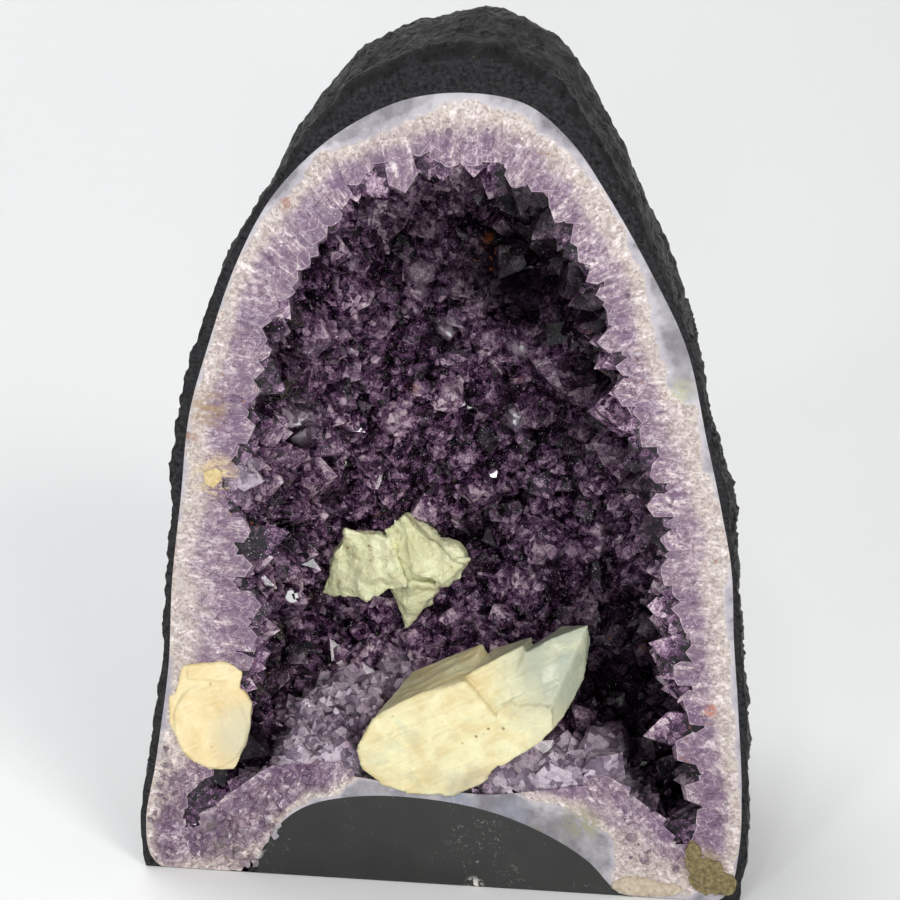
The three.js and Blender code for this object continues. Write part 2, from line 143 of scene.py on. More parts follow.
ROCK = Outline((
    (119.5, 150), (115, 180), (106.5, 214), (97.5, 247), (84, 279), (68.5, 309), (53, 333), (38, 348),
    (17, 355), (-6, 352), (-29, 343), (-46, 326.5), (-62, 305), (-77.5, 283), (-91, 255), (-101, 226),
    (-108, 196), (-110.5, 160), (-114.7, 125), (-117.4, 92), (-122.6, 60), (-128.8, 30), (-128.4, 4),
    (-118, -28), (-60, -46), (0, -50), (60, -46), (114, -28), (127.5, 4), (128.8, 34), (127.6, 70),
    (124.4, 105),
))
AGATE = Outline((
    (118, 150), (113, 176), (106, 206), (97, 243), (83, 272), (65, 303), (51, 323), (34, 337),
    (12, 341), (-12, 338), (-33, 328), (-50, 315), (-66, 297), (-80, 271), (-92, 238), (-101, 208),
    (-106, 171), (-111, 135), (-114, 97), (-118, 71), (-122, 48), (-127, 22), (-125, 4), (-112, -4),
    (-86, -4), (-78, 8), (-70, 22), (-57, 33), (-36, 39), (-8, 40), (20, 36), (44, 27), (63, 15),
    (76, 1), (88, -4), (110, -4), (122, 4), (126, 24), (126, 52), (123, 90), (120, 121),
))
LINING = Outline((
    (97, 150), (92, 175), (86, 200), (77, 226), (69, 250), (61, 274), (51, 293), (38, 306),
    (20, 316), (0, 318), (-20, 316), (-38, 305), (-52, 290), (-63, 272), (-73, 248), (-80, 222),
    (-84, 195), (-86, 168), (-84, 140), (-83, 112), (-85, 84), (-91, 60), (-104, 42), (-111, 26),
    (-110, 17), (-101, 21), (-87, 36), (-66, 50), (-42, 52), (-12, 49), (20, 47), (46, 51),
    (66, 53), (82, 42), (97, 25), (107, 22), (112, 38), (110, 62), (106, 90), (101, 122),
))


@dataclass(frozen=True)
class GeodeForm:
    """The nested bowls of the geode, in millimetres with the sawn face at y = 0."""

    middle_z: float = 150.0
    rock_depth: float = 165.0
    crest_y: float = 48.0
    crest_reach: float = 42.0
    swell: float = 0.078
    agate_depth: float = 126.0
    agate_share: float = 0.17
    quartz_depth: float = 121.5
    lining_depth: float = 106.5
    druse_depth: float = 102.5
    rim_setback: float = 3.0
    crust: float = 4.0
    back_swell: float = 14.0
    footing_left: float = -79.0

    def offset(self) -> np.ndarray:
        """How far this form's zero lies from the frame's zero, in millimetres."""
        low_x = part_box("footing")[0][0] / MM
        low_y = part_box("basalt_rind")[0][1] / MM
        return np.array([low_x - self.footing_left, low_y, 0.0])

    def placed(self, points: np.ndarray) -> np.ndarray:
        """Points of the form as metres in the frame."""
        return (points + self.offset()) * MM

    def rock(self, angle: np.ndarray, step: float) -> np.ndarray:
        """The outside of the rock, without its small roughness.

        Args:
            angle: Angles round the opening.
            step: How far back, from 0 at the face to 1 at the pole.

        Returns:
            One point for each angle.
        """
        turn = step * math.pi / 2
        y = self.rock_depth * math.sin(turn) ** 0.95
        upward = np.maximum(np.sin(angle), 0) ** 10
        fullness = 1 + self.swell * upward * math.exp(-(((y - self.crest_y) / self.crest_reach) ** 2))
        across = math.cos(turn) ** 0.72 * (fullness if step > 0 else 1)
        waves = 2.4 * np.sin(7 * angle + 9 * step) + 1.8 * np.sin(11 * angle - 13 * step + 1)
        knob = waves * math.sin(math.pi * step)
        reach = ROCK.radius(angle) * across + knob * min(1, 3 * math.cos(turn) ** 0.72)
        return self.around(angle, reach, np.full_like(angle, y))

    def cavity(self, angle: np.ndarray, step: float, inset: float, depth: float) -> np.ndarray:
        """A bowl between the agate's outside and the druse.

        Args:
            angle: Angles round the opening.
            step: How far back, from 0 at the face to 1 at the pole.
            inset: 0 on the agate's outside, 1 on the quartz's inside, 2 on the druse's.
            depth: How far back the bowl's pole lies.

        Returns:
            One point for each angle.
        """
        turn = step * math.pi / 2
        across = math.cos(turn) ** 0.62
        share, beyond = min(inset, 1.0), max(inset - 1, 0.0) * self.crust
        wall = LINING.radius(angle) + self.rim_setback
        reach = (AGATE.radius(angle) * (1 - share) + wall * share - beyond) * across
        lump = 2.2 * np.sin(3 * angle + 5 * step) * math.sin(math.pi * step)
        sunk = self.back_swell * (1 - across) ** 2 * math.sin(turn)
        y = np.maximum(depth * math.sin(turn) ** 0.8 - sunk + lump, 0.0)
        return self.around(angle, reach, y)

    def around(self, angle: np.ndarray, reach: np.ndarray, y: np.ndarray) -> np.ndarray:
        """Points at a distance from the middle of the opening, at each angle and depth."""
        z = self.middle_z + np.sin(angle) * reach
        return np.stack([np.cos(angle) * reach, y, z], axis=-1)


FORM = GeodeForm()


def face_y() -> float:
    """Where the sawn face lies along y, in metres of the frame."""
    return float(FORM.placed(np.zeros(3))[1])


def node_spots(name: str) -> np.ndarray:
    """The vertices of a CAD node, in millimetres of the form."""
    return np.array([v.co for v in frame["nodes"][name].data.vertices]) / MM - FORM.offset()


def nodes_named(start: str) -> list[str]:
    """The CAD nodes whose names begin in the same way, in order."""
    return sorted(name for name in frame["nodes"] if name.startswith(start))


def ring_angles(count: int) -> np.ndarray:
    """So many angles spread evenly round the opening."""
    return np.linspace(0, 2 * math.pi, count, endpoint=False)


# ---- Mesh helpers -----------------------------------------------------------------------------


def stand(name: str, data: bpy.types.ID) -> bpy.types.Object:
    """Makes an object of some data and links it into the scene."""
    piece = bpy.data.objects.new(name, data)
    bpy.context.scene.collection.objects.link(piece)
    return piece


def store(mesh: bpy.types.Mesh, key: str, numbers: np.ndarray, domain: str = "POINT") -> None:
    """Stores a named number for each vertex, or for each corner, of a mesh."""
    layer = mesh.attributes.new(key, "FLOAT", domain)
    layer.data.foreach_set("value", np.asarray(numbers, np.float32))


def mesh_piece(name: str, points: np.ndarray, faces: list, values: dict[str, np.ndarray] | None = None,
               flat: bool = False) -> bpy.types.Object:
    """Makes a mesh object at the origin and links it.

    Args:
        name: The piece's name.
        points: Vertices in metres.
        faces: Vertex numbers of each face.
        values: Named numbers for each vertex.
        flat: Whether the faces are shaded flat.

    Returns:
        The new object.
    """
    mesh = bpy.data.meshes.new(name)
    mesh.from_pydata(points.tolist(), [], faces)
    for key, numbers in (values or {}).items():
        store(mesh, key, numbers)
    mesh.polygons.foreach_set("use_smooth", [not flat] * len(mesh.polygons))
    return stand(name, mesh)


def tidy_mesh(piece: bpy.types.Object, merge: float = 1e-6, recalc: bool = True) -> None:
    """Merges doubled vertices and turns the faces of a piece outwards."""
    work = bmesh.new()
    work.from_mesh(piece.data)
    bmesh.ops.remove_doubles(work, verts=work.verts, dist=merge)
    bmesh.ops.dissolve_degenerate(work, edges=work.edges, dist=merge)
    if recalc:
        bmesh.ops.recalc_face_normals(work, faces=work.faces)
    work.to_mesh(piece.data)
    work.free()


def ring_faces(rows: int, around: int) -> list[tuple[int, ...]]:
    """Quads between rings of vertices, with a pole before the first ring and after the last."""
    faces: list[tuple[int, ...]] = []
    last = rows * around + 1
    for j in range(around):
        k = (j + 1) % around
        faces.append((0, 1 + k, 1 + j))
        for i in range(rows - 1):
            a, b = 1 + i * around, 1 + (i + 1) * around
            faces.append((a + j, a + k, b + k, b + j))
        tail = 1 + (rows - 1) * around
        faces.append((tail + j, tail + k, last))
    return faces


def adopt(piece: bpy.types.Object, finish: bpy.types.Material, nodes: list[str]) -> None:
    """Gives a finished piece its material, its body and the nodes that it stands for."""
    piece.data.materials.clear()
    piece.data.materials.append(finish)
    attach(piece, BODY)
    if nodes:
        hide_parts(*nodes)
    LOG.info("%s: %d faces", piece.name, len(piece.data.polygons))


def apply_modifiers(piece: bpy.types.Object) -> None:
    """Replaces a piece's mesh by what its modifiers make of it, and removes them."""
    graph = bpy.context.evaluated_depsgraph_get()
    mesh = bpy.data.meshes.new_from_object(piece.evaluated_get(graph))
    piece.modifiers.clear()
    piece.data = mesh


# ---- Shader helpers ---------------------------------------------------------------------------


class Paint:
    """Adds nodes to one material or node group."""

    def __init__(self, tree: bpy.types.NodeTree) -> None:
        """Takes the tree that the nodes go into."""
        self.tree = tree

    def add(self, kind: str, sockets: dict | None = None, **settings: object) -> bpy.types.Node:
        """Adds a node.

        Args:
            kind: The node's type.
            sockets: For each input, a socket to link or a value to set.
            settings: Properties of the node.

        Returns:
            The new node.
        """
        node = self.tree.nodes.new(kind)
        for key, value in settings.items():
            setattr(node, key, value)
        self.feed(node, sockets or {})
        return node

    def feed(self, node: bpy.types.Node, sockets: dict) -> None:
        """Links a socket to, or sets a value on, each named input of a node."""
        for key, value in sockets.items():
            if isinstance(value, Socket):
                self.tree.links.new(value, node.inputs[key])
            else:
                node.inputs[key].default_value = value

    def place(self) -> Socket:
        """The position on the piece, in metres."""
        return self.add("ShaderNodeTexCoord").outputs["Object"]

    def value(self, name: str) -> Socket:
        """A number stored on the piece's vertices."""
        return self.add("ShaderNodeAttribute", attribute_name=name).outputs["Fac"]

    def noise(self, where: Socket, scale: float, detail: float = 3.0, rough: float = 0.55,
              twist: float = 0.0) -> Socket:
        """Cloudy noise from 0 to 1 at so many waves a metre."""
        return self.add("ShaderNodeTexNoise", {
            "Vector": where, "Scale": scale, "Detail": detail, "Roughness": rough, "Distortion": twist,
        }).outputs["Fac"]

    def patches(self, where: Socket, scale: float, detail: float, low: float, high: float) -> Socket:
        """Cloudy patches: 1 where the noise is above `high`, 0 where it is below `low`."""
        return self.between(self.noise(where, scale, detail), low, high)

    def dots(self, where: Socket, scale: float, edge: float, core: float) -> Socket:
        """Round dots, so many a metre: 1 within `core` of a dot's middle, 0 beyond `edge`."""
        cells = self.add("ShaderNodeTexVoronoi", {"Vector": where, "Scale": scale}, feature="F1")
        return self.between(cells.outputs["Distance"], edge, core)

    def maths(self, operation: str, *parts: object) -> object:
        """Joins two or more values by one operation, from left to right."""
        return functools.reduce(
            lambda a, b: self.add("ShaderNodeMath", {0: a, 1: b}, operation=operation).outputs[0], parts)

    def times(self, *parts: object) -> object:
        """The product of all the parts."""
        return self.maths("MULTIPLY", *parts)

    def weighed(self, *parts: tuple[object, float]) -> Socket:
        """The sum of values, each times its weight."""
        return self.maths("ADD", *(self.times(value, weight) for value, weight in parts))

    def vector(self, operation: str, sockets: dict) -> Socket:
        """One operation on vectors."""
        return self.add("ShaderNodeVectorMath", sockets, operation=operation).outputs["Vector"]

    def between(self, value: object, low: object, high: object, start: float = 0.0, end: float = 1.0) -> Socket:
        """Maps low..high to start..end with soft ends."""
        return self.add("ShaderNodeMapRange", {
            "Value": value, "From Min": low, "From Max": high, "To Min": start, "To Max": end,
        }, interpolation_type="SMOOTHSTEP").outputs["Result"]

    def mix(self, factor: object, a: object, b: object, blend: str = "MIX") -> Socket:
        """Mixes two colours."""
        return self.add("ShaderNodeMix", {0: factor, 6: a, 7: b}, data_type="RGBA", blend_type=blend).outputs[2]

    def layers(self, base: object, *rows: tuple) -> object:
        """Lays colours over a base, one after the other.

        Args:
            base: The colour underneath.
            rows: For each layer its colour, then the masks whose product is its strength.

        Returns:
            The colour on top.
        """
        for colour, *masks in rows:
            base = self.mix(self.times(*masks), base, colour)
        return base

    def ramp(self, factor: Socket, *stops: tuple[float, Tint]) -> Socket:
        """A colour ramp through the stops."""
        node = self.add("ShaderNodeValToRGB", {"Fac": factor})
        band = node.color_ramp
        while len(band.elements) < len(stops):
            band.elements.new(0.5)
        for element, (spot, colour) in zip(band.elements, stops):
            element.position, element.color = spot, colour
        return node.outputs["Color"]

    def near(self, where: Socket, spot: Spot, inner: float, outer: float) -> Socket:
        """1 close to a spot of the form, in millimetres, and 0 beyond the outer radius."""
        middle = tuple(FORM.placed(np.array(spot, float)))
        away = self.add("ShaderNodeVectorMath", {0: where, 1: middle}, operation="DISTANCE").outputs["Value"]
        return self.between(away, inner * MM, outer * MM, 1.0, 0.0)

    def leaned(self, share: Socket, normal: Socket) -> Socket:
        """The surface's own normal, with a share of another mixed in."""
        own = self.add("ShaderNodeNewGeometry").outputs["Normal"]
        return self.add("ShaderNodeMix", {0: share, 4: own, 5: normal}, data_type="VECTOR").outputs[1]

    def bump(self, height: Socket, depth: float, strength: float = 1.0, normal: Socket | None = None) -> Socket:
        """A normal bent by a height of up to `depth` metres."""
        sockets = {"Height": height, "Distance": depth, "Strength": strength}
        if normal is not None:
            sockets["Normal"] = normal
        return self.add("ShaderNodeBump", sockets).outputs["Normal"]

    def group(self, tree: bpy.types.NodeTree, sockets: dict) -> bpy.types.bpy_prop_collection:
        """Places a shared node group with its own values, and gives its outputs."""
        return self.add("ShaderNodeGroup", sockets, node_tree=tree).outputs


def new_group(name: str, takes: dict[str, object], gives: dict[str, str]) -> tuple:
    """Starts a shader node group.

    Args:
        name: The group's name.
        takes: For each input its default, or None for a vector without one.
        gives: For each output, its kind.

    Returns:
        The group, a Paint for it, the outputs of its input node, and its output node.
    """
    tree = bpy.data.node_groups.new(name, "ShaderNodeTree")
    for key, default in takes.items():
        kind = "Vector" if default is None else "Float"
        socket = tree.interface.new_socket(key, in_out="INPUT", socket_type=f"NodeSocket{kind}")
        if default is not None:
            socket.default_value = default
    for key, kind in gives.items():
        tree.interface.new_socket(key, in_out="OUTPUT", socket_type=f"NodeSocket{kind}")
    paint = Paint(tree)
    return tree, paint, paint.add("NodeGroupInput").outputs, paint.add("NodeGroupOutput")


def veil_group() -> bpy.types.NodeTree:
    """Veils inside quartz: bright healed cracks, and tiny white specks that are painted glints."""
    tree, paint, given, out = new_group("quartz_veils", {"Place": None, "Scale": 1.0, "Crack Width": 0.05},
                                        {"Cracks": "Float", "Painted Glints": "Float"})
    where = paint.vector("SCALE", {0: given["Place"], "Scale": given["Scale"]})
    stir = paint.add("ShaderNodeTexNoise", {"Vector": where, "Scale": 220.0}).outputs["Color"]
    bent = paint.vector("ADD", {0: where, 1: paint.vector("MULTIPLY", {0: stir, 1: (0.004, 0.004, 0.004)})})
    off_middle = paint.maths("SUBTRACT", paint.noise(bent, 150.0, 5.0, 0.6, 0.9), 0.5)
    edge = paint.maths("ABSOLUTE", off_middle, 0.0)
    cracks = paint.between(edge, 0.0, paint.times(given["Crack Width"], 0.35), 1.0, 0.0)
    paint.feed(out, {
        "Cracks": paint.times(cracks, paint.patches(where, 120.0, 2.0, 0.45, 0.6)),
        # Painted glints: tiny white dots in loose patches, as if small facets caught the light.
        "Painted Glints": paint.times(paint.dots(where, 620.0, 0.20, 0.12), paint.patches(where, 300.0, 2.0, 0.52, 0.6)),
    })
    return tree


def rust_group() -> bpy.types.NodeTree:
    """Small rust-coloured stains, scattered in loose clusters."""
    tree, paint, given, out = new_group("rust_stains", {"Place": None, "Amount": 0.5}, {"Mask": "Float"})
    where = given["Place"]
    level = paint.maths("SUBTRACT", 1.0, given["Amount"])
    limited = paint.maths("GREATER_THAN", paint.noise(where, 34.0, 1.0), level)
    grain = paint.patches(where, 900.0, 2.0, 0.4, 0.6)
    paint.feed(out, {"Mask": paint.times(paint.dots(where, 260.0, 0.30, 0.14), limited, grain)})
    return tree


def facet_group() -> bpy.types.NodeTree:
    """Small flat facets, each with its own tilt and shade, as inside broken crystal."""
    tree, paint, given, out = new_group("small_facets", {"Place": None, "Scale": 450.0, "Tilt": 0.8},
                                        {"Normal": "Vector", "Shade": "Float"})
    cells = paint.add("ShaderNodeTexVoronoi", {"Vector": given["Place"], "Scale": given["Scale"]},
                      feature="F1").outputs["Color"]
    tilt = paint.vector("SCALE", {0: paint.vector("SUBTRACT", {0: cells, 1: (0.5, 0.5, 0.5)}),
                                  "Scale": given["Tilt"]})
    own = paint.add("ShaderNodeNewGeometry").outputs["Normal"]
    paint.feed(out, {
        "Normal": paint.vector("NORMALIZE", {0: paint.vector("ADD", {0: own, 1: tilt})}),
        "Shade": paint.add("ShaderNodeSeparateXYZ", {0: cells}).outputs["X"],
    })
    return tree


def column_group() -> bpy.types.NodeTree:
    """Places for patterns that are stretched along the crystals, towards the middle of the opening."""
    tree, paint, given, out = new_group("column_places", {"Place": None}, {"Vector": "Vector"})
    low, high, around, along = 0.105, 0.235, 0.085, 0.34
    parts = paint.add("ShaderNodeSeparateXYZ", {0: given["Place"]}).outputs
    x = paint.maths("SUBTRACT", parts["X"], float(FORM.offset()[0] * MM))
    centre = paint.add("ShaderNodeClamp", {"Value": parts["Z"], "Min": low, "Max": high}).outputs[0]
    z = paint.maths("SUBTRACT", parts["Z"], centre)
    reach = paint.maths("SQRT", paint.maths("ADD", paint.times(x, x), paint.times(z, z)), 0.0)
    place = paint.add("ShaderNodeCombineXYZ", {
        0: paint.times(paint.maths("DIVIDE", x, reach), around),
        1: paint.maths("ADD", paint.times(reach, along), parts["Y"]),
        2: paint.maths("ADD", paint.times(paint.maths("DIVIDE", z, reach), around), centre),
    })
    paint.feed(out, {"Vector": place.outputs[0]})
    return tree


@dataclass(frozen=True)
class Patterns:
    """The shader groups that the finishes share."""

    veils: bpy.types.NodeTree = field(default_factory=veil_group)
    columns: bpy.types.NodeTree = field(default_factory=column_group)
    facets: bpy.types.NodeTree = field(default_factory=facet_group)
    rust: bpy.types.NodeTree = field(default_factory=rust_group)


# ---- Finishes ---------------------------------------------------------------------------------

# Places on the form in millimetres (x, y, z), each with the radius of its core and of its soft edge.
# The last number of a row, where there is one, is how much is added or how strong it is.
ZONE_SHIFTS = (
    ((-118, 0, 120), 34, 70, 0.2), ((-100, 0, 200), 6, 26, 0.12),
    ((92, 0, 250), 8, 28, -0.26), ((-22, 0, 332), 10, 34, -0.24), ((14, 0, 338), 4, 24, -0.14),
    ((96, 0, 228), 3, 12, -0.3), ((116, 0, 176), 12, 34, 0.08), ((122, 0, 120), 22, 46, 0.0),
    ((126, 0, 66), 14, 36, 0.05),
    ((-116, 0, 30), 16, 48, 0.30), ((-100, 0, 8), 12, 36, 0.22), ((112, 0, 30), 10, 34, 0.2),
    ((60, 0, 262), 10, 30, 0.12), ((-80, 0, 262), 8, 30, 0.06), ((46, 0, 31), 9, 22, -0.62),
    ((62, 0, 22), 7, 18, -0.6), ((24, 0, 39), 8, 18, -0.75), ((-4, 0, 43), 10, 17, -0.75),
    ((-30, 0, 41), 5, 14, -0.7), ((-66, 0, 24), 3, 14, -0.2),
)
RIM_STAINS = (
    ((-93, 0, 210), 2, 12, srgb(150, 120, 78)), ((-91, 0, 182), 3, 13, srgb(214, 190, 140)),
    ((-54, 5, 52), 1, 6, srgb(196, 110, 66)), ((-101, 0, 199), 1, 5, srgb(140, 96, 52)),
    ((112, 0, 89), 1, 4, srgb(196, 96, 50)), ((96, 0, 226), 1, 7, srgb(170, 172, 136)),
    ((60, 0, 34), 3, 12, srgb(150, 146, 112)), ((-60, 0, 296), 1, 4, srgb(150, 92, 60)),
    ((-94, 0, 18), 4, 15, srgb(122, 110, 110)), ((-78, 3, 180), 3, 11, srgb(150, 136, 128)),
    ((30, 0, 36), 2, 10, srgb(126, 134, 150)), ((52, 0, 26), 2, 9, srgb(134, 134, 130)),
    ((8, 0, 41), 2, 9, srgb(134, 142, 160)), ((40, 0, 27), 0.5, 5, srgb(122, 124, 84)),
    ((56, 0, 17), 0.5, 5, srgb(122, 128, 84)), ((66, 0, 8), 0.5, 4.5, srgb(134, 120, 92)),
    ((112, 0, 16), 5, 12, srgb(128, 110, 72)),
)
# Painted shade: round each of these spots in the cavity's hollows, the amethyst is darkened towards near black and its
# coat is weakened.
SHADED_HOLLOWS = (
    ((37, 6, 299), 10, 24, 0.9), ((38, 44, 272), 24, 44, 0.97), ((28, 90, 246), 16, 38, 0.9),
    ((20, 40, 296), 10, 26, 0.8), ((62, 10, 258), 8, 26, 0.85), ((-10, 12, 306), 8, 20, 0.7),
    ((60, 50, 225), 18, 42, 0.85), ((56, 72, 187), 12, 40, 0.55), ((80, 14, 166), 12, 36, 0.8),
    ((76, 60, 82), 22, 46, 0.8), ((92, 26, 52), 22, 44, 0.85), ((-68, 20, 232), 8, 26, 0.6),
    ((-80, 44, 92), 6, 26, 0.6), ((-80, 10, 56), 10, 26, 0.9), ((-70, 44, 82), 4, 22, 0.6),
    ((8, 92, 133), 2, 18, 0.6), ((-40, 30, 280), 10, 30, 0.5), ((0, 66, 268), 20, 52, 0.55),
)
# Painted glints: at these spots, a few small facets are painted near-white, as if they mirrored a lamp.
GLINTS = ((-53, 57, 247), (-45, 58, 241), (-6, 85, 219), (23, 96, 210), (-68, 21, 230), (-46, 53, 59),
          (-67, 41, 53), (59, 40, 52), (-13, 92, 173), (22, 91, 179), (-67, 59, 186), (-70, 46, 110))
# Painted light: round these spots, the ledges and a few crystals that face the lamps are painted a pale, lit
# lilac-grey.
LIT_LEDGES = (
    ((-48, 40, 66), 15, 31), ((-26, 46, 70), 12, 27), ((-52, 10, 54), 12, 22), ((56, 8, 50), 14, 30),
    ((30, 8, 50), 6, 16), ((-78, 8, 180), 5, 14), ((-6, 85, 220), 2, 8), ((23, 94, 210), 1, 7),
    ((22, 90, 180), 1, 8), ((-49, 58, 245), 2, 8), ((-67, 58, 187), 3, 12),
)
RUST_SPOTS = (
    ((-13, 92, 174), 1, 6), ((-22, 86, 193), 0.5, 4), ((23, 94, 199), 1, 5), ((-54, 5, 52), 2, 7),
    ((12, 80, 262), 1, 5), ((60, 8, 52), 1, 5), ((-30, 40, 66), 0.5, 4),
)


@dataclass(frozen=True)
class Finish:
    """What all finishes have in common: a name, and how the material is made."""

    name: str

    def make(self, patterns: Patterns) -> bpy.types.Material:
        """Makes the material.

        Args:
            patterns: The shared shader groups.

        Returns:
            The material.
        """
        material = bpy.data.materials.new(self.name)
        material.use_nodes = True
        paint = Paint(material.node_tree)
        paint.feed(material.node_tree.nodes["Principled BSDF"], self.surface(paint, patterns))
        return material

    def surface(self, paint: Paint, patterns: Patterns) -> dict[str, object]:
        """Adds the finish's own nodes.

        Args:
            paint: Where the nodes go.
            patterns: The shared shader groups.

        Returns:
            A value or a socket for each of the shader's inputs.
        """
        raise NotImplementedError


@dataclass(frozen=True)
class Basalt(Finish):
    """Rough black-painted rock, smoother and greyer where it was sawn."""

    name: str = "black_basalt"
    specular: float = 0.35
    relief: float = 0.0046

    def surface(self, paint: Paint, patterns: Patterns) -> dict[str, object]:
        """Adds the rock's grain, its sawn face, mineral specks and pits; see Finish."""
        where, sawn = paint.place(), paint.value("sawn")
        coarse, fine = paint.noise(where, 130.0, 6.0, 0.68), paint.noise(where, 620.0, 5.0, 0.66)
        broken = paint.ramp(coarse, (0.32, srgb(9, 8, 10)), (0.52, srgb(26, 25, 28)), (0.72, srgb(56, 55, 59)))
        cut = paint.ramp(fine, (0.36, srgb(7, 6, 9)), (0.64, srgb(58, 57, 61)))
        colour = paint.layers(broken, (cut, sawn), (
            srgb(84, 76, 58), paint.dots(where, 240.0, 0.16, 0.08), paint.patches(where, 28.0, 1.0, 0.56, 0.64)))
        small = paint.dots(where, 380.0, 0.08, 0.40)
        holes = paint.dots(where, 170.0, 0.06, 0.34)
        height = paint.weighed((coarse, 1.1), (fine, 0.5), (small, 0.4), (holes, 0.5))
        level = paint.maths("SUBTRACT", 1.0, paint.times(sawn, 0.1))
        return {"Specular IOR Level": self.specular, "Base Color": colour,
                "Roughness": paint.between(fine, 0.3, 0.7, 0.3, 0.56),
                "Normal": paint.bump(paint.times(height, level), self.relief)}


@dataclass(frozen=True)
class Cement(Finish):
    """Smooth black-painted cement with dust specks, small rubbed marks and one chip."""

    name: str = "black_cement"
    specular: float = 0.35
    chip: tuple[Spot, float, float] = ((15, 0, 1), 1, 5)

    def surface(self, paint: Paint, patterns: Patterns) -> dict[str, object]:
        """Adds the paint's clouds, the dust and the chip; see Finish."""
        where = paint.place()
        cloud = paint.noise(where, 30.0, 4.0, 0.6)
        sparse = paint.times(paint.dots(where, 560.0, 0.12, 0.06), paint.patches(where, 60.0, 2.0, 0.52, 0.6))
        rubbed = paint.times(paint.between(paint.noise(where, 620.0, 4.0, 0.7), 0.58, 0.72),
                             paint.patches(where, 34.0, 2.0, 0.54, 0.68))
        colour = paint.layers(
            paint.ramp(cloud, (0.35, srgb(37, 39, 37)), (0.7, srgb(50, 52, 50))),
            (srgb(176, 174, 170), paint.maths("MAXIMUM", sparse, rubbed), 0.55),
            (srgb(206, 202, 196), paint.near(where, *self.chip), paint.patches(where, 500.0, 3.0, 0.46, 0.54)))
        return {"Specular IOR Level": self.specular, "Base Color": colour,
                "Roughness": paint.between(cloud, 0.3, 0.7, 0.46, 0.62),
                "Normal": paint.bump(paint.noise(where, 1500.0, 3.0), 0.0003, 0.7)}


@dataclass(frozen=True)
class SawnQuartz(Finish):
    """The sawn and polished wall and its points: grey-blue agate, sugary quartz, lilac amethyst."""

    name: str = "sawn_quartz"
    shadow_from: float = 0.0010
    shadow_full: float = 0.010
    dark_full: float = 0.019

    def surface(self, paint: Paint, patterns: Patterns) -> dict[str, object]:
        """Adds the zones across the wall and all that lies in them; see Finish."""
        where = paint.place()
        share, tone, edge, height = (paint.value(key) for key in ("share", "tone", "edge", "height"))
        columns = paint.group(patterns.columns, {"Place": where})["Vector"]
        veils = paint.group(patterns.veils, {"Place": where, "Scale": 1.6, "Crack Width": 0.10})
        rods = paint.group(patterns.facets, {"Place": columns, "Scale": 300.0, "Tilt": 0.25})["Shade"]
        grit = paint.group(patterns.facets, {"Place": where, "Scale": 950.0, "Tilt": 0.6})
        rust = paint.group(patterns.rust, {"Place": where, "Amount": 0.34})["Mask"]
        streaks = paint.noise(columns, 420.0, 6.0, 0.74, 0.5)
        patches = paint.noise(columns, 150.0, 4.0, 0.62, 0.6)
        wisps = paint.noise(where, 210.0, 6.0, 0.74, 1.4)
        wander = paint.times(paint.maths("SUBTRACT", paint.noise(where, 42.0, 5.0, 0.66), 0.45), 0.95)
        level = paint.maths("ADD", share, wander, *(
            paint.times(paint.near(where, *place), amount) for *place, amount in ZONE_SHIFTS))
        quartz, lilac = paint.between(level, 0.16, 0.26), paint.between(level, 0.44, 0.80)
        colour = paint.ramp(
            level, (0.0, srgb(118, 114, 122)), (0.07, srgb(148, 143, 153)), (0.17, srgb(168, 161, 170)),
            (0.24, srgb(198, 187, 178)), (0.55, srgb(190, 176, 171)), (0.74, srgb(174, 155, 164)),
            (0.95, srgb(160, 136, 153)), (1.0, srgb(146, 121, 139)))
        colour = paint.layers(colour, (srgb(246, 236, 234), paint.between(streaks, 0.5, 0.64), quartz, 0.8))
        colour = paint.mix(paint.times(paint.between(grit["Shade"], 0.8, 0.1), quartz, 0.55), colour,
                           srgb(176, 154, 162), "MULTIPLY")
        stain = paint.between(streaks, 0.42, 0.54)
        colour = paint.layers(
            colour,
            (srgb(104, 72, 112), paint.between(patches, 0.46, 0.60), lilac, 0.66),
            (srgb(244, 230, 236), paint.between(wisps, 0.54, 0.68), quartz, 0.7),
            (srgb(84, 56, 86), paint.between(wisps, 0.46, 0.34), lilac, 0.8),
            (srgb(98, 70, 100), paint.between(rods, 0.5, 0.1), lilac, 0.36),
            (srgb(84, 60, 88), paint.between(streaks, 0.46, 0.36), lilac, 0.7),
            (srgb(236, 224, 224), veils["Cracks"], quartz, 0.35),
            (srgb(96, 72, 98), paint.between(tone, 0.85, 0.0), height, 0.85),
            # Painted highlight: a pale pink line along the border of each sawn point's cut face, stronger towards its
            # tip.
            (srgb(230, 204, 216), edge, paint.between(height, 0.45, 0.8, 0.0, 0.55)),
            # Painted glints: white specks over the quartz.
            (srgb(255, 250, 246), veils["Painted Glints"], quartz),
            (srgb(212, 210, 214), paint.between(quartz, 1.0, 0.0, 0.0, 0.5), paint.between(wander, -0.1, 0.2)),
            (srgb(150, 106, 84), rust, quartz, 0.8),
            *((shade, paint.near(where, *place), stain, 0.8) for *place, shade in RIM_STAINS))
        # Painted shade: the wall and its points darken with depth behind the sawn face, to near black deep in the
        # cavity.
        depth = paint.maths("SUBTRACT", paint.add("ShaderNodeSeparateXYZ", {0: where}).outputs["Y"], face_y())
        colour = paint.mix(paint.between(depth, self.shadow_from, self.shadow_full), colour, srgb(92, 70, 94),
                           "MULTIPLY")
        hollow = paint.mix(paint.between(wisps, 0.4, 0.6), srgb(14, 6, 14), srgb(84, 62, 82))
        colour = paint.mix(paint.between(depth, self.shadow_full, self.dark_full), colour, hollow)
        normal = paint.leaned(paint.times(quartz, 0.55), grit["Normal"])
        return {"Specular IOR Level": 0.5, "Coat Weight": 0.3, "Coat Roughness": 0.1, "Base Color": colour,
                "Roughness": paint.maths("ADD", paint.times(quartz, 0.12), 0.12),
                "Normal": paint.bump(paint.times(streaks, quartz), 0.0005, 0.8, normal)}


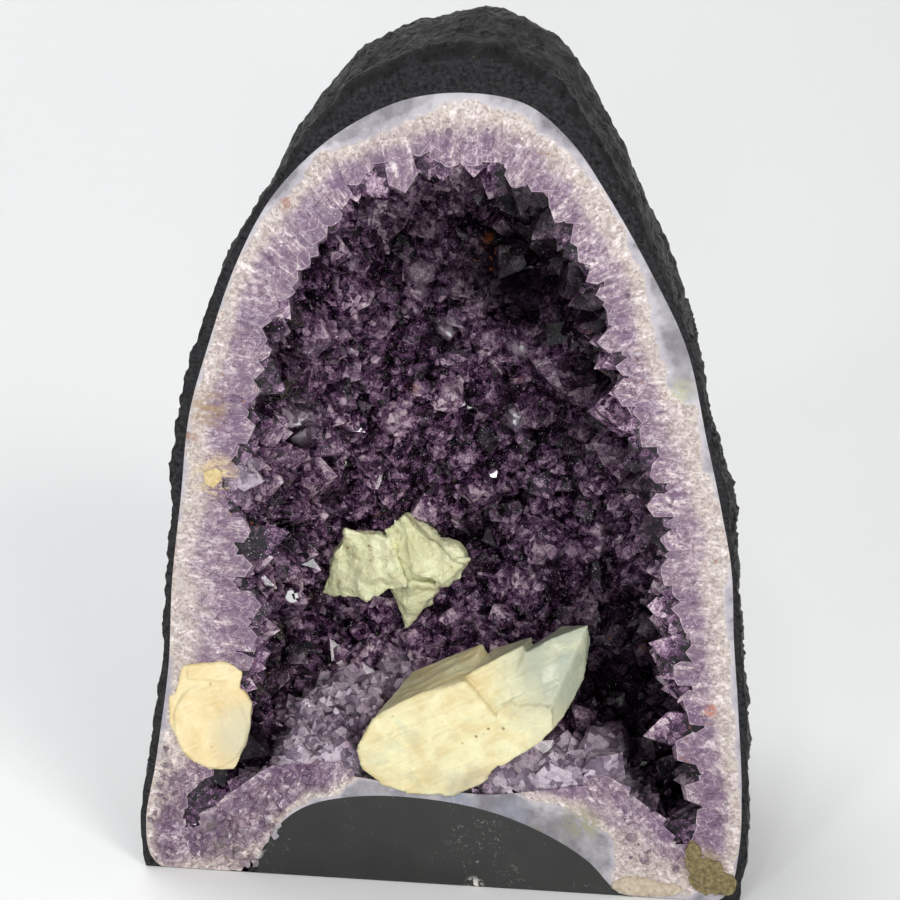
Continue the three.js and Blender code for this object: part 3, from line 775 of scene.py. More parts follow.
@dataclass(frozen=True)
class Amethyst(Finish):
    """Glassy dark amethyst with mottled insides, pale healed cracks and rust stains."""

    name: str = "dark_amethyst"
    glint: tuple[float, float] = (2.4, 3.2)

    def surface(self, paint: Paint, patterns: Patterns) -> dict[str, object]:
        """Adds the mottled purple, painted shade in the hollows and at the roots, painted light on the ledges, stains
        and painted glints; see Finish.
        """
        where = paint.place()
        tone, height = paint.value("tone"), paint.value("height")
        veils = paint.group(patterns.veils, {"Place": where, "Scale": 1.5, "Crack Width": 0.05})
        facets = paint.group(patterns.facets, {"Place": where, "Scale": 360.0, "Tilt": 0.8})
        rust = paint.group(patterns.rust, {"Place": where, "Amount": 0.33})["Mask"]
        cloud = paint.noise(where, 42.0, 3.0, 0.6)
        mottle = paint.noise(where, 560.0, 6.0, 0.8, 0.9)
        # Painted shade: the height term makes each point darker towards its root, where the points crowd together.
        inside = paint.weighed((mottle, 2.1), (tone, 0.4), (cloud, 1.2), (height, 0.8), (facets["Shade"], 0.5))
        colour = paint.ramp(
            paint.between(inside, 1.94, 3.48),
            (0.0, srgb(3, 0, 4)), (0.3, srgb(20, 8, 22)), (0.5, srgb(70, 42, 72)), (0.7, srgb(124, 92, 122)),
            (0.86, srgb(176, 152, 168)), (1.0, srgb(226, 210, 216)))
        colour = paint.layers(colour, (srgb(170, 152, 164), veils["Cracks"], 0.5),
                              # Painted glints: pale specks over the amethyst.
                              (srgb(240, 236, 244), veils["Painted Glints"]))
        # Painted shade: light falls from 1 towards 0 round each spot of the hollows table, and the colour goes to near
        # black there.
        light = paint.times(*(
            paint.maths("SUBTRACT", 1.0, paint.times(paint.near(where, *place), strength))
            for *place, strength in SHADED_HOLLOWS))
        # Painted light: the pale lilac-grey laid round each ledge spot stands in for light falling on the ledges.
        pale = paint.maths("MAXIMUM", *(paint.near(where, *place) for place in LIT_LEDGES))
        ledge_light = paint.mix(paint.between(facets["Shade"], 0.1, 0.9), srgb(122, 104, 124), srgb(200, 187, 199))
        stain, flat = paint.between(mottle, 0.42, 0.56), paint.between(facets["Shade"], 0.46, 0.48)
        colour = paint.layers(
            paint.mix(light, srgb(8, 5, 9), colour),
            (ledge_light, pale, paint.between(mottle, 0.3, 0.55, 0.35, 0.95)),
            (srgb(120, 70, 30), rust, 0.7),
            *((srgb(134, 74, 26), paint.near(where, *place), stain, 0.85) for place in RUST_SPOTS),
            # Painted glints: near-white facets round each glint spot.
            *((srgb(252, 252, 255), paint.near(where, spot, *self.glint), flat) for spot in GLINTS))
        normal = paint.leaned(paint.between(paint.noise(where, 190.0, 2.0), 0.44, 0.58, 0.35, 0.85),
                              facets["Normal"])
        return {"Specular IOR Level": 0.16, "Coat Roughness": 0.02, "Base Color": colour,
                "Roughness": paint.between(mottle, 0.35, 0.65, 0.04, 0.2), "Coat Weight": paint.times(light, 0.42),
                "Normal": paint.bump(paint.noise(where, 1300.0, 3.0), 0.0003, 0.5, normal)}


@dataclass(frozen=True)
class Calcite(Finish):
    """Waxy calcite with fine cleavage lines, brown specks and a clearer end.

    `tip` and `smudge` say where the clearer end and a smoky patch lie; `sugar` is from 0 to 1.
    """

    cream: Tint
    deep: Tint
    clear: Tint
    tip: tuple[Spot, float, float]
    sugar: float
    smudge: tuple[Spot, float, float] | None = None
    lines_tilt: float = -27.0

    def surface(self, paint: Paint, patterns: Patterns) -> dict[str, object]:
        """Adds the lines, the clearer parts, specks and sugar; see Finish."""
        where = paint.place()
        cloud = paint.noise(where, 70.0, 4.0, 0.55, 0.5)
        along = paint.add("ShaderNodeMapping", {
            "Vector": where, "Rotation": (0.0, math.radians(self.lines_tilt), 0.0), "Scale": (1.6, 1.0, 0.16),
        }, vector_type="TEXTURE").outputs["Vector"]
        lines = paint.noise(along, 120.0, 4.0, 0.6)
        glassy = paint.between(paint.noise(where, 52.0, 4.0, 0.6, 1.0), 0.54, 0.68, 0.0, 0.55)
        smoky = [] if self.smudge is None else [
            (srgb(170, 164, 146), paint.near(where, *self.smudge), paint.patches(where, 70.0, 5.0, 0.34, 0.66), 0.75)]
        colour = paint.layers(
            paint.mix(paint.between(cloud, 0.35, 0.68), self.cream, self.deep),
            (srgb(255, 250, 226), paint.between(lines, 0.55, 0.75, 0.0, 0.35)),
            (srgb(204, 188, 140), paint.between(lines, 0.44, 0.34, 0.0, 0.3)),
            (self.clear, glassy, 0.4),
            (self.clear, paint.near(where, *self.tip), paint.between(cloud, 0.2, 0.6, 0.6, 1.0)),
            *smoky,
            (srgb(150, 100, 52), paint.dots(where, 210.0, 0.2, 0.1), paint.patches(where, 44.0, 1.0, 0.60, 0.66), 0.8),
            (srgb(250, 250, 228), paint.dots(where, 800.0, 0.2, 0.1), self.sugar))
        height = paint.weighed((lines, 0.8), (paint.noise(where, 900.0, 3.0), 0.4 + self.sugar))
        duller = 0.1 * self.sugar
        return {"Specular IOR Level": 0.5, "Coat Weight": 0.25, "Coat Roughness": 0.15,
                "Subsurface Weight": 0.12, "Subsurface Scale": 0.004, "Base Color": colour,
                "Roughness": paint.between(cloud, 0.3, 0.7, 0.26 + duller, 0.42 + duller),
                "Normal": paint.bump(height, 0.0005 + 0.0006 * self.sugar, 0.8)}


@dataclass(frozen=True)
class Earth(Finish):
    """A dull crumbly mineral."""

    light: Tint
    dark: Tint

    def surface(self, paint: Paint, patterns: Patterns) -> dict[str, object]:
        """Adds its grain; see Finish."""
        grain = paint.noise(paint.place(), 500.0, 5.0, 0.7)
        return {"Specular IOR Level": 0.3,
                "Base Color": paint.mix(paint.between(grain, 0.36, 0.64), self.dark, self.light),
                "Roughness": paint.between(grain, 0.3, 0.7, 0.6, 0.9), "Normal": paint.bump(grain, 0.0009)}


@dataclass(frozen=True)
class Sheet(Finish):
    """A plain matt sheet for the floor."""

    name: str = "pale_sheet"

    def surface(self, paint: Paint, patterns: Patterns) -> dict[str, object]:
        """Adds its faint clouds; see Finish."""
        cloud = paint.between(paint.noise(paint.place(), 3.0, 1.0), 0.3, 0.7, 0.0, 0.12)
        return {"Roughness": 0.7, "Specular IOR Level": 0.2,
                "Base Color": paint.mix(cloud, srgb(246, 247, 247), srgb(232, 236, 238))}


# ---- Rind and footing -------------------------------------------------------------------------


@dataclass
class Rind:
    """The basalt outside: rough, pitted, sawn flat in front and underneath."""

    around: int = 560
    rings: int = 150
    across: int = 6
    inner_rings: int = 8
    rough: float = 2.1
    pit_depth: float = 2.3
    pit_spacing: float = 11.0
    small_pit_depth: float = 1.1
    small_pit_spacing: float = 5.2
    ledge_depth: float = 1.2
    ledge_pitch: float = 6.5
    edge_relief: float = 0.55
    least_y: float = 0.15

    @staticmethod
    def pit(spot: Vector, width: float) -> float:
        """How deep the nearest pit is at a spot, from 0 to 1."""
        return max(0.0, 1 - (noise.voronoi(spot)[0][0] / width) ** 2)

    def roughness(self, point: np.ndarray, out: np.ndarray, share: float) -> np.ndarray:
        """Moves a point of the surface out or in by the rock's small relief.

        Args:
            point: The point, in millimetres.
            out: The direction away from the middle of the rock.
            share: How much of the relief shows.

        Returns:
            The moved point.
        """
        spot = Vector(point)
        broad = noise.fractal(spot / 16.0, 1.0, 2.1, 4) * self.rough
        fine = noise.noise(spot / 3.4) * 0.9 + noise.noise(spot / 1.9) * 0.7
        pit = self.pit_depth * self.pit(spot / self.pit_spacing, 0.34)
        small = self.small_pit_depth * self.pit(spot / self.small_pit_spacing + Vector((9, 3, 1)), 0.42)
        worn = min(1.0, max(0.0, 0.4 + 2.0 * noise.noise(spot / 19.0 + Vector((5, 2, 8)))))
        layer = spot.z / self.ledge_pitch + 0.9 * noise.noise(spot / 15.0) + 0.3 * noise.noise(spot / 5.0)
        ledge = self.ledge_depth * saw_tooth(layer) * (1 - worn)
        return point + out * (broad + fine + ledge - pit - small * worn) * share

    def build(self, finish: bpy.types.Material) -> None:
        """Makes the rind as one closed mesh.

        Args:
            finish: Its material.
        """
        angle = ring_angles(self.around)
        rows = []
        for i in range(self.rings - 1, -1, -1):
            step = (i / self.rings) ** 1.12
            row = FORM.rock(angle, step)
            middle = np.array([0.0, row[0, 1] * 0.9, FORM.middle_z])
            for j, point in enumerate(row):
                out = point - middle
                out /= max(np.linalg.norm(out), 1e-6)
                if i == 0:
                    out[1] = 0.0
                share = self.edge_relief if i == 0 else min(1.0, 0.6 + row[j, 1] / 16)
                row[j] = self.roughness(point, out, share)
            if i:
                row[:, 1] = np.maximum(row[:, 1], self.least_y)
            rows.append(row)
        edge, inner = rows[-1], FORM.cavity(angle, 0.0, 0.0, FORM.agate_depth)
        for k in range(1, self.across + 1):
            part = k / self.across
            rows.append(edge * (1 - part) + inner * part)
        for i in range(1, self.inner_rings):
            rows.append(FORM.cavity(angle, i / self.inner_rings, 0.0, FORM.agate_depth))
        points = np.concatenate([
            FORM.rock(np.zeros(1), 0.999)[:1] * (0, 1, 0) + (0, 0, FORM.middle_z), *rows,
            np.array([[0.0, rows[-1][0, 1] + 1, FORM.middle_z]]),
        ])
        points[:, 2] = np.maximum(points[:, 2], 0.0)
        sawn = np.zeros(len(points))
        sawn[1 + self.rings * self.around:] = 1.0
        piece = mesh_piece("rind", FORM.placed(points), ring_faces(len(rows), self.around), {"sawn": sawn})
        tidy_mesh(piece, 1e-7)
        adopt(piece, finish, ["basalt_rind"])


@dataclass
class Footing:
    """The black cement slab in the arch under the front."""

    proud: float = 0.45
    depth: float = 62.0
    left: float = -79.0
    right: float = 76.5
    over: float = 0.6
    bevel: float = 0.0007

    def build(self, finish: bpy.types.Material) -> None:
        """Makes the slab with a softly rounded front edge.

        Args:
            finish: Its material.
        """
        curve = AGATE.curve()
        top = sorted((p for p in curve if self.left <= p[0] <= self.right and p[1] < 60), key=lambda p: p[0])
        arch = [(x, z + self.over) for x, z in top if z > 0.8]
        outline = [*arch, (self.right, 0.0), (self.left, 0.0)]
        count = len(outline)
        front = np.array([(x, -self.proud, z) for x, z in outline])
        back = front + (0, self.depth + self.proud, 0)
        faces = [tuple(range(count)), tuple(range(2 * count - 1, count - 1, -1))]
        faces += [(i, (i + 1) % count, count + (i + 1) % count, count + i) for i in range(count)]
        piece = mesh_piece("cement_footing", FORM.placed(np.concatenate([front, back])), faces)
        tidy_mesh(piece)
        bevel = piece.modifiers.new("edge", "BEVEL")
        bevel.width, bevel.segments, bevel.limit_method = self.bevel, 3, "ANGLE"
        bevel.angle_limit = math.radians(40)
        apply_modifiers(piece)
        adopt(piece, finish, ["footing"])


# ---- Sawn wall --------------------------------------------------------------------------------


@dataclass
class SawnWall:
    """One layer of the wall: a closed bowl whose edge was sawn and polished at the face."""

    name: str
    node: str
    slot: str
    outer: float
    inner: float
    outer_depth: float
    inner_depth: float
    around: int = 360
    rings: int = 16
    across: int = 10

    def build(self, finish: bpy.types.Material) -> None:
        """Makes the layer, with its place on the wall stored for the finish.

        Args:
            finish: Its material.
        """
        angle = ring_angles(self.around)
        steps = [i / self.rings for i in range(1, self.rings)]
        rows = [FORM.cavity(angle, step, self.outer, self.outer_depth) for step in reversed(steps)]
        rows += [FORM.cavity(angle, 0.0, self.outer + (self.inner - self.outer) * k / self.across, 1.0)
                 for k in range(self.across + 1)]
        rows += [FORM.cavity(angle, step, self.inner, self.inner_depth) for step in steps]
        poles = [np.array([[0.0, row[:, 1].max() + 0.5, FORM.middle_z]]) for row in (rows[0], rows[-1])]
        points = np.concatenate([poles[0], *rows, poles[1]])
        points[:, 2] = np.maximum(points[:, 2], 0.05)
        zero = np.zeros(len(points))
        values = {"share": wall_share(points), "tone": zero + 1, "height": zero, "edge": zero}
        piece = mesh_piece(self.name, FORM.placed(points), ring_faces(len(rows), self.around), values, flat=True)
        tidy_mesh(piece, 1e-7)
        adopt(piece, finish, [self.node])


# ---- Crystals ---------------------------------------------------------------------------------


@dataclass
class CrystalBatch:
    """Gathers many six-sided points into one mesh, in millimetres of the form."""

    seed: int
    taper: float = 0.88
    uneven: float = 0.16
    twist: float = 0.08
    least_stem: float = 0.25
    points: list = field(default_factory=list)
    faces: list = field(default_factory=list)
    tone: list = field(default_factory=list)
    height: list = field(default_factory=list)
    edge: list = field(default_factory=list)
    count: int = 0

    def __post_init__(self) -> None:
        """Starts the batch's own random numbers."""
        self.random = np.random.default_rng(self.seed)

    def shape(self, radius: float, length: float, blunt: float = 1.0) -> tuple[np.ndarray, list]:
        """One quartz point standing on the origin along +Z.

        Args:
            radius: Half its width.
            length: From its root to its tip.
            blunt: The height of its tip's pyramid, in radii.

        Returns:
            Its vertices and faces.
        """
        rng = self.random
        turns = rng.uniform(0, math.pi / 3) + np.arange(6) * math.pi / 3 + rng.normal(0, self.twist, 6)
        reach = radius * (1 + rng.uniform(-self.uneven, self.uneven, 6))
        pyramid = radius * blunt * rng.uniform(0.85, 1.2)
        zigzag = radius * rng.uniform(0.05, 0.3) * np.array([1, -1, 1, -1, 1, -1])
        stem = max(length - pyramid, length * self.least_stem) + zigzag + rng.normal(0, 0.05 * radius, 6)
        x, y = np.cos(turns) * reach, np.sin(turns) * reach
        low = np.stack([x * self.taper, y * self.taper, np.zeros(6)], axis=1)
        high = np.stack([x, y, stem], axis=1)
        tip = np.array([[*rng.normal(0, self.uneven * radius, 2), length]])
        faces = [(5, 4, 3, 2, 1, 0)]
        faces += [(j, (j + 1) % 6, 6 + (j + 1) % 6, 6 + j) for j in range(6)]
        faces += [(6 + j, 6 + (j + 1) % 6, 12) for j in range(6)]
        return np.concatenate([low, high, tip]), faces

    def grow(self, tip: np.ndarray, way: np.ndarray, radius: float, length: float, tone: float,
             cut: float | None = None, blunt: float = 1.0) -> None:
        """Adds a crystal whose tip is given, and saws it off at a plane in front if asked.

        Args:
            tip: Where its tip is.
            way: The direction it points in.
            radius, length: Its size.
            tone: How light it is, from 0 to 1.
            cut: The y of the saw plane, or None.
            blunt: The height of its tip's pyramid, in radii.
        """
        way = way / np.linalg.norm(way)
        local, faces = self.shape(radius, length, blunt)
        turn = np.array(Vector(way).to_track_quat("Z", "Y").to_matrix())
        root = tip - way * length
        placed = local @ turn.T + root
        edge = [[0.0] * len(face) for face in faces]
        if cut is not None and placed[:, 1].min() < cut:
            placed, faces, edge = self.sawn(placed, faces, cut)
            if len(placed) < 4:
                return
        self.points.append(placed)
        self.faces += [tuple(self.count + i for i in face) for face in faces]
        self.count += len(placed)
        self.tone.append(np.full(len(placed), tone))
        self.edge += [value for marks in edge for value in marks]
        self.height.append(np.clip((placed - root) @ way / length, 0, 1))

    @staticmethod
    def sawn(points: np.ndarray, faces: list, cut: float, border: float = 0.5) -> tuple:
        """Saws a crystal at a plane and marks the border of the cut face, where the finish paints a highlight.

        Args:
            points, faces: The whole crystal.
            cut: The y of the plane; what lies in front of it goes.
            border: The width of the marked border.

        Returns:
            What is left: vertices, faces and a mark for each corner of each face.
        """
        left, index, kept = [], {}, []

        def keep(key: object, spot: np.ndarray) -> int:
            """The new number of a vertex."""
            if key not in index:
                index[key] = len(left)
                left.append(spot)
            return index[key]

        crossed = set()
        for face in faces:
            loop = []
            for a, b in zip(face, face[1:] + face[:1]):
                ya, yb = points[a][1] - cut, points[b][1] - cut
                if ya >= 0:
                    loop.append(keep(a, points[a]))
                if (ya >= 0) != (yb >= 0):
                    i, j = min(a, b), max(a, b)
                    part = (cut - points[i][1]) / (points[j][1] - points[i][1])
                    number = keep((i, j), points[i] + (points[j] - points[i]) * part)
                    loop.append(number)
                    crossed.add(number)
            if len(loop) >= 3:
                kept.append(tuple(loop))
        marks = [[0.0] * len(face) for face in kept]
        if len(crossed) >= 3:
            spots = np.array(left)
            middle = spots[list(crossed)].mean(axis=0)
            ring = sorted(crossed, key=lambda v: math.atan2(left[v][2] - middle[2], left[v][0] - middle[0]))
            size = np.linalg.norm(spots[ring] - middle, axis=1).mean()
            share = max(0.25, 1 - border / max(size, 1e-6))
            inner = [len(left) + k for k in range(len(ring))]
            left += [middle + (left[v] - middle) * share for v in ring]
            for k in range(len(ring)):
                n = (k + 1) % len(ring)
                kept.append((ring[k], ring[n], inner[n], inner[k]))
                marks.append([1.0, 1.0, 0.0, 0.0])
            kept.append(tuple(inner))
            marks.append([0.0] * len(inner))
        return np.array(left), kept, marks

    def piece(self, name: str) -> bpy.types.Object:
        """Makes one mesh of all that was gathered."""
        points = np.concatenate(self.points)
        values = {"tone": np.concatenate(self.tone), "height": np.concatenate(self.height),
                  "share": wall_share(points)}
        piece = mesh_piece(name, FORM.placed(points), self.faces, values, flat=True)
        store(piece.data, "edge", self.edge, "CORNER")
        return piece


def wall_share(points: np.ndarray) -> np.ndarray:
    """How far across the sawn wall points lie: 0 at the agate's outside, 1 at the quartz's inside."""
    across, up = points[:, 0], points[:, 2] - FORM.middle_z
    angle, reach = np.arctan2(up, across), np.hypot(across, up)
    outside, inside = AGATE.radius(angle), LINING.radius(angle)
    return (outside - reach) / (outside - inside)


@dataclass(frozen=True)
class Row:
    """One row of points round the mouth: ranges in millimetres, from the outline outwards."""

    pitch: float
    out: tuple[float, float]
    depth: tuple[float, float]
    radius: tuple[float, float]
    length: tuple[float, float]
    forward: tuple[float, float]
    lean: float = 0.12
    sawn: bool = False
    blunt: float = 0.85


ROWS = (
    Row(8.5, (-6.0, 0.5), (-1.0, 1.5), (4.2, 7.0), (15, 21), (-0.06, 0.06), 0.12, True, 0.8),
    Row(5.0, (-2.5, 4.0), (-1.0, 2.5), (2.6, 4.6), (9, 14), (-0.1, 0.1), 0.14, True, 0.9),
    Row(5.6, (-5.5, 0.5), (4.5, 8.5), (2.8, 5.0), (11, 16), (-0.4, 0.1), 0.2, True),
    Row(4.2, (-3.5, 2.5), (9, 14), (3.0, 5.5), (10, 15), (-0.3, 0.2), 0.25),
    Row(4.2, (-3.0, 3.0), (13, 19), (3.0, 6.0), (10, 15), (-0.4, 0.2), 0.28),
    Row(4.6, (-3.0, 3.0), (19, 26), (3.0, 6.0), (10, 15), (-0.5, 0.2), 0.28),
)


def fit_point(spots: np.ndarray, way: np.ndarray) -> tuple[np.ndarray, float]:
    """Fits a crystal to the vertices of a plain one.

    Args:
        spots: The vertices.
        way: The direction it points in.

    Returns:
        Its tip and its radius.
    """
    tip = spots[(spots @ way).argmax()]
    away = spots - tip
    side = away - np.outer(away @ way, way)
    return tip, float(np.linalg.norm(side, axis=1).max() * 0.72)


def wall_room(spot: np.ndarray, tip: np.ndarray) -> float:
    """The longest that a sawn point may be, in millimetres.

    Args:
        spot: Where on the outline it grows, which says its angle.
        tip: Where its tip is.

    Returns:
        A share of what lies between its tip and the agate's outside.
    """
    angle = math.atan2(spot[2] - FORM.middle_z, spot[0])
    return 0.62 * float(AGATE.radius(np.array([angle]))[0] - math.hypot(tip[0], tip[2] - FORM.middle_z))


@dataclass
class RimCrystals:
    """The points along the mouth of the cavity, the front ones cut by the saw."""

    seed: int = 11
    face_tries: int = 16000
    stub: float = 8.0
    low_z: float = 62.0
    floor_z: float = 70.0
    long_z: float = 185.0
    crown_z: float = 285.0
    longer: float = 7.0
    kept_clear: list = field(default_factory=list)

    @staticmethod
    def aim(spot: np.ndarray) -> np.ndarray:
        """The direction from a spot of the rim to the middle of the opening."""
        way = np.array([0.0, 12.0, np.clip(spot[2], 95, 235)]) - spot
        return way / np.linalg.norm(way)

    def build(self, finish: bpy.types.Material, dark: bpy.types.Material) -> None:
        """Makes the rows of points round the mouth.

        Args:
            finish: The material of the sawn points.
            dark: The material of the points behind them.
        """
        batch, deeper = CrystalBatch(self.seed), CrystalBatch(self.seed + 1)
        nodes = nodes_named("rim_point")
        for name in nodes:
            self.big_point(batch, name)
        curve = LINING.curve()
        closed = np.concatenate([curve, curve[:1]])
        run = np.concatenate([[0], np.cumsum(np.linalg.norm(np.diff(closed, axis=0), axis=1))])
        self.kept_clear = [self.face_box(n) for n in frame["nodes"] if n.endswith(("_front", "_left", "_patch"))
                           and not n.startswith("amethyst")]
        for row in ROWS:
            distance = batch.random.uniform(0, row.pitch)
            while distance < run[-1]:
                x = np.interp(distance, run, closed[:, 0])
                z = np.interp(distance, run, closed[:, 1])
                distance += row.pitch * batch.random.uniform(0.6, 1.2) * (0.75 if z < self.floor_z else 1.0)
                self.row_point(batch if row.sawn else deeper, row, np.array([x, 0.0, z]))
        self.rough_face(batch)
        for gathered, name, slot, look, named in ((batch, "rim_crystals", "lilac_amethyst", finish, nodes),
                                                  (deeper, "inner_crystals", "dark_amethyst", dark, [])):
            piece = gathered.piece(name)
            for vertex in piece.data.vertices:
                vertex.co.z = max(vertex.co.z, 0.0002)
            adopt(piece, look, named)

    @staticmethod
    def face_box(name: str) -> tuple[np.ndarray, np.ndarray]:
        """A node's lowest and highest corners, in millimetres of the form."""
        low, high = (np.array(corner) / MM - FORM.offset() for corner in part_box(name))
        return low, high

    def is_taken(self, spot: np.ndarray) -> bool:
        """Whether a mineral already fills the face at a spot."""
        return any(low[0] - 1 < spot[0] < high[0] + 1 and low[2] < spot[2] < high[2] + 1 and spot[1] < 9
                   for low, high in self.kept_clear)

    def rough_face(self, batch: CrystalBatch) -> None:
        """Grows small broken points that stand a little proud of the sawn wall, most of them low down.

        Args:
            batch: Where they go.
        """
        rng = batch.random
        tries = self.face_tries
        spots = np.stack([rng.uniform(-124, 124, tries), np.zeros(tries), rng.uniform(2, 330, tries)], axis=1)
        count = 0
        for spot, share in zip(spots, wall_share(spots)):
            x, z = spot[0], spot[2]
            low = z < self.low_z
            least = 0.10 if low and x < -72 else 0.34 if low else 0.56
            chance = 1.0 if low and x < 70 else 0.34 if x < 0 and z < 215 else 0.22
            if -44 < x < 78 and z < 50:
                continue
            if not least < share < 1.02 or self.is_taken(spot) or rng.uniform() > chance:
                continue
            count += 1
            proud, size = ((0.2, 2.4), (1.6, 3.6)) if low else ((-0.5, 0.9), (2.0, 4.4))
            tip = spot + (0.0, -rng.uniform(*proud), 0.0)
            way = np.array([rng.uniform(-0.7, 0.7), -1.0, rng.uniform(-0.5, 0.8)])
            batch.grow(tip, way, rng.uniform(*size), self.stub, rng.uniform(0, 1))
        LOG.info("%d points on the face of the wall", count)

    def row_point(self, batch: CrystalBatch, row: Row, spot: np.ndarray) -> None:
        """Grows one point of a row.

        Args:
            batch: Where it goes.
            row: The row it belongs to.
            spot: The outline's point that it grows at.
        """
        rng = batch.random
        floor = spot[2] < self.floor_z and abs(spot[0]) < 100
        way = self.aim(spot)
        tip = spot - way * rng.uniform(*row.out)
        tip[1] = rng.uniform(*row.depth)
        way = way + rng.normal(0, row.lean, 3)
        way[1] = rng.uniform(*row.forward)
        size = 0.72 if floor else 1.0
        if spot[0] < -80 and spot[2] < 46:
            size = 0.5
        length = rng.uniform(*row.length) * (0.55 if floor else 1.0)
        if row.sawn:
            length = min(length, wall_room(spot, tip))
        blunt = row.blunt
        if row.sawn and spot[0] < -30 and spot[2] > self.long_z:
            reach = self.longer * min(1.0, (spot[2] - self.long_z) / 40) * min(1.0, (-30 - spot[0]) / 16)
            tip = tip + self.aim(spot) * reach
            length, size = length + reach, size * 1.1
        if spot[2] > self.crown_z and row.sawn:
            size, blunt = 1.25, blunt * 0.6
        if self.is_taken(tip) or self.is_taken(tip - self.aim(spot) * length * 0.6):
            return
        batch.grow(tip, way, rng.uniform(*row.radius) * size, length, rng.uniform(0, 1),
                   -rng.uniform(0.03, 0.2) if row.sawn else -0.02, blunt * rng.uniform(0.75, 1.25))

    def big_point(self, batch: CrystalBatch, name: str) -> None:
        """Grows the detailed crystal that stands for one of the named points.

        Args:
            batch: Where it goes.
            name: The point's node.
        """
        spots = node_spots(name)
        way = self.aim(spots.mean(axis=0))
        tip, radius = fit_point(spots, way)
        tip = tip * (1, 0, 1) + (0, 1.5, 0)
        batch.grow(tip, way * (1, 0.3, 1), float(np.clip(radius, 4.0, 9.0)), min(24.0, wall_room(tip, tip)),
                   batch.random.uniform(0.35, 1), -batch.random.uniform(0.2, 0.3), 0.72)


@dataclass(frozen=True)
class Growth:
    """One size of point that grows all over the cavity's wall.

    `spacing` is the least distance between two roots and `smallest` and `largest` are half widths, all
    in metres; `lean` is how far a point may lean, in radians.
    """

    name: str
    spacing: float
    smallest: float
    largest: float
    lean: float
    seed: int


GROWTHS = (
    Growth("small_points", 0.0048, 0.0024, 0.0050, 0.5, 3),
    Growth("middle_points", 0.0090, 0.0046, 0.0080, 0.45, 8),
    Growth("large_points", 0.0175, 0.0070, 0.0112, 0.32, 21),
)


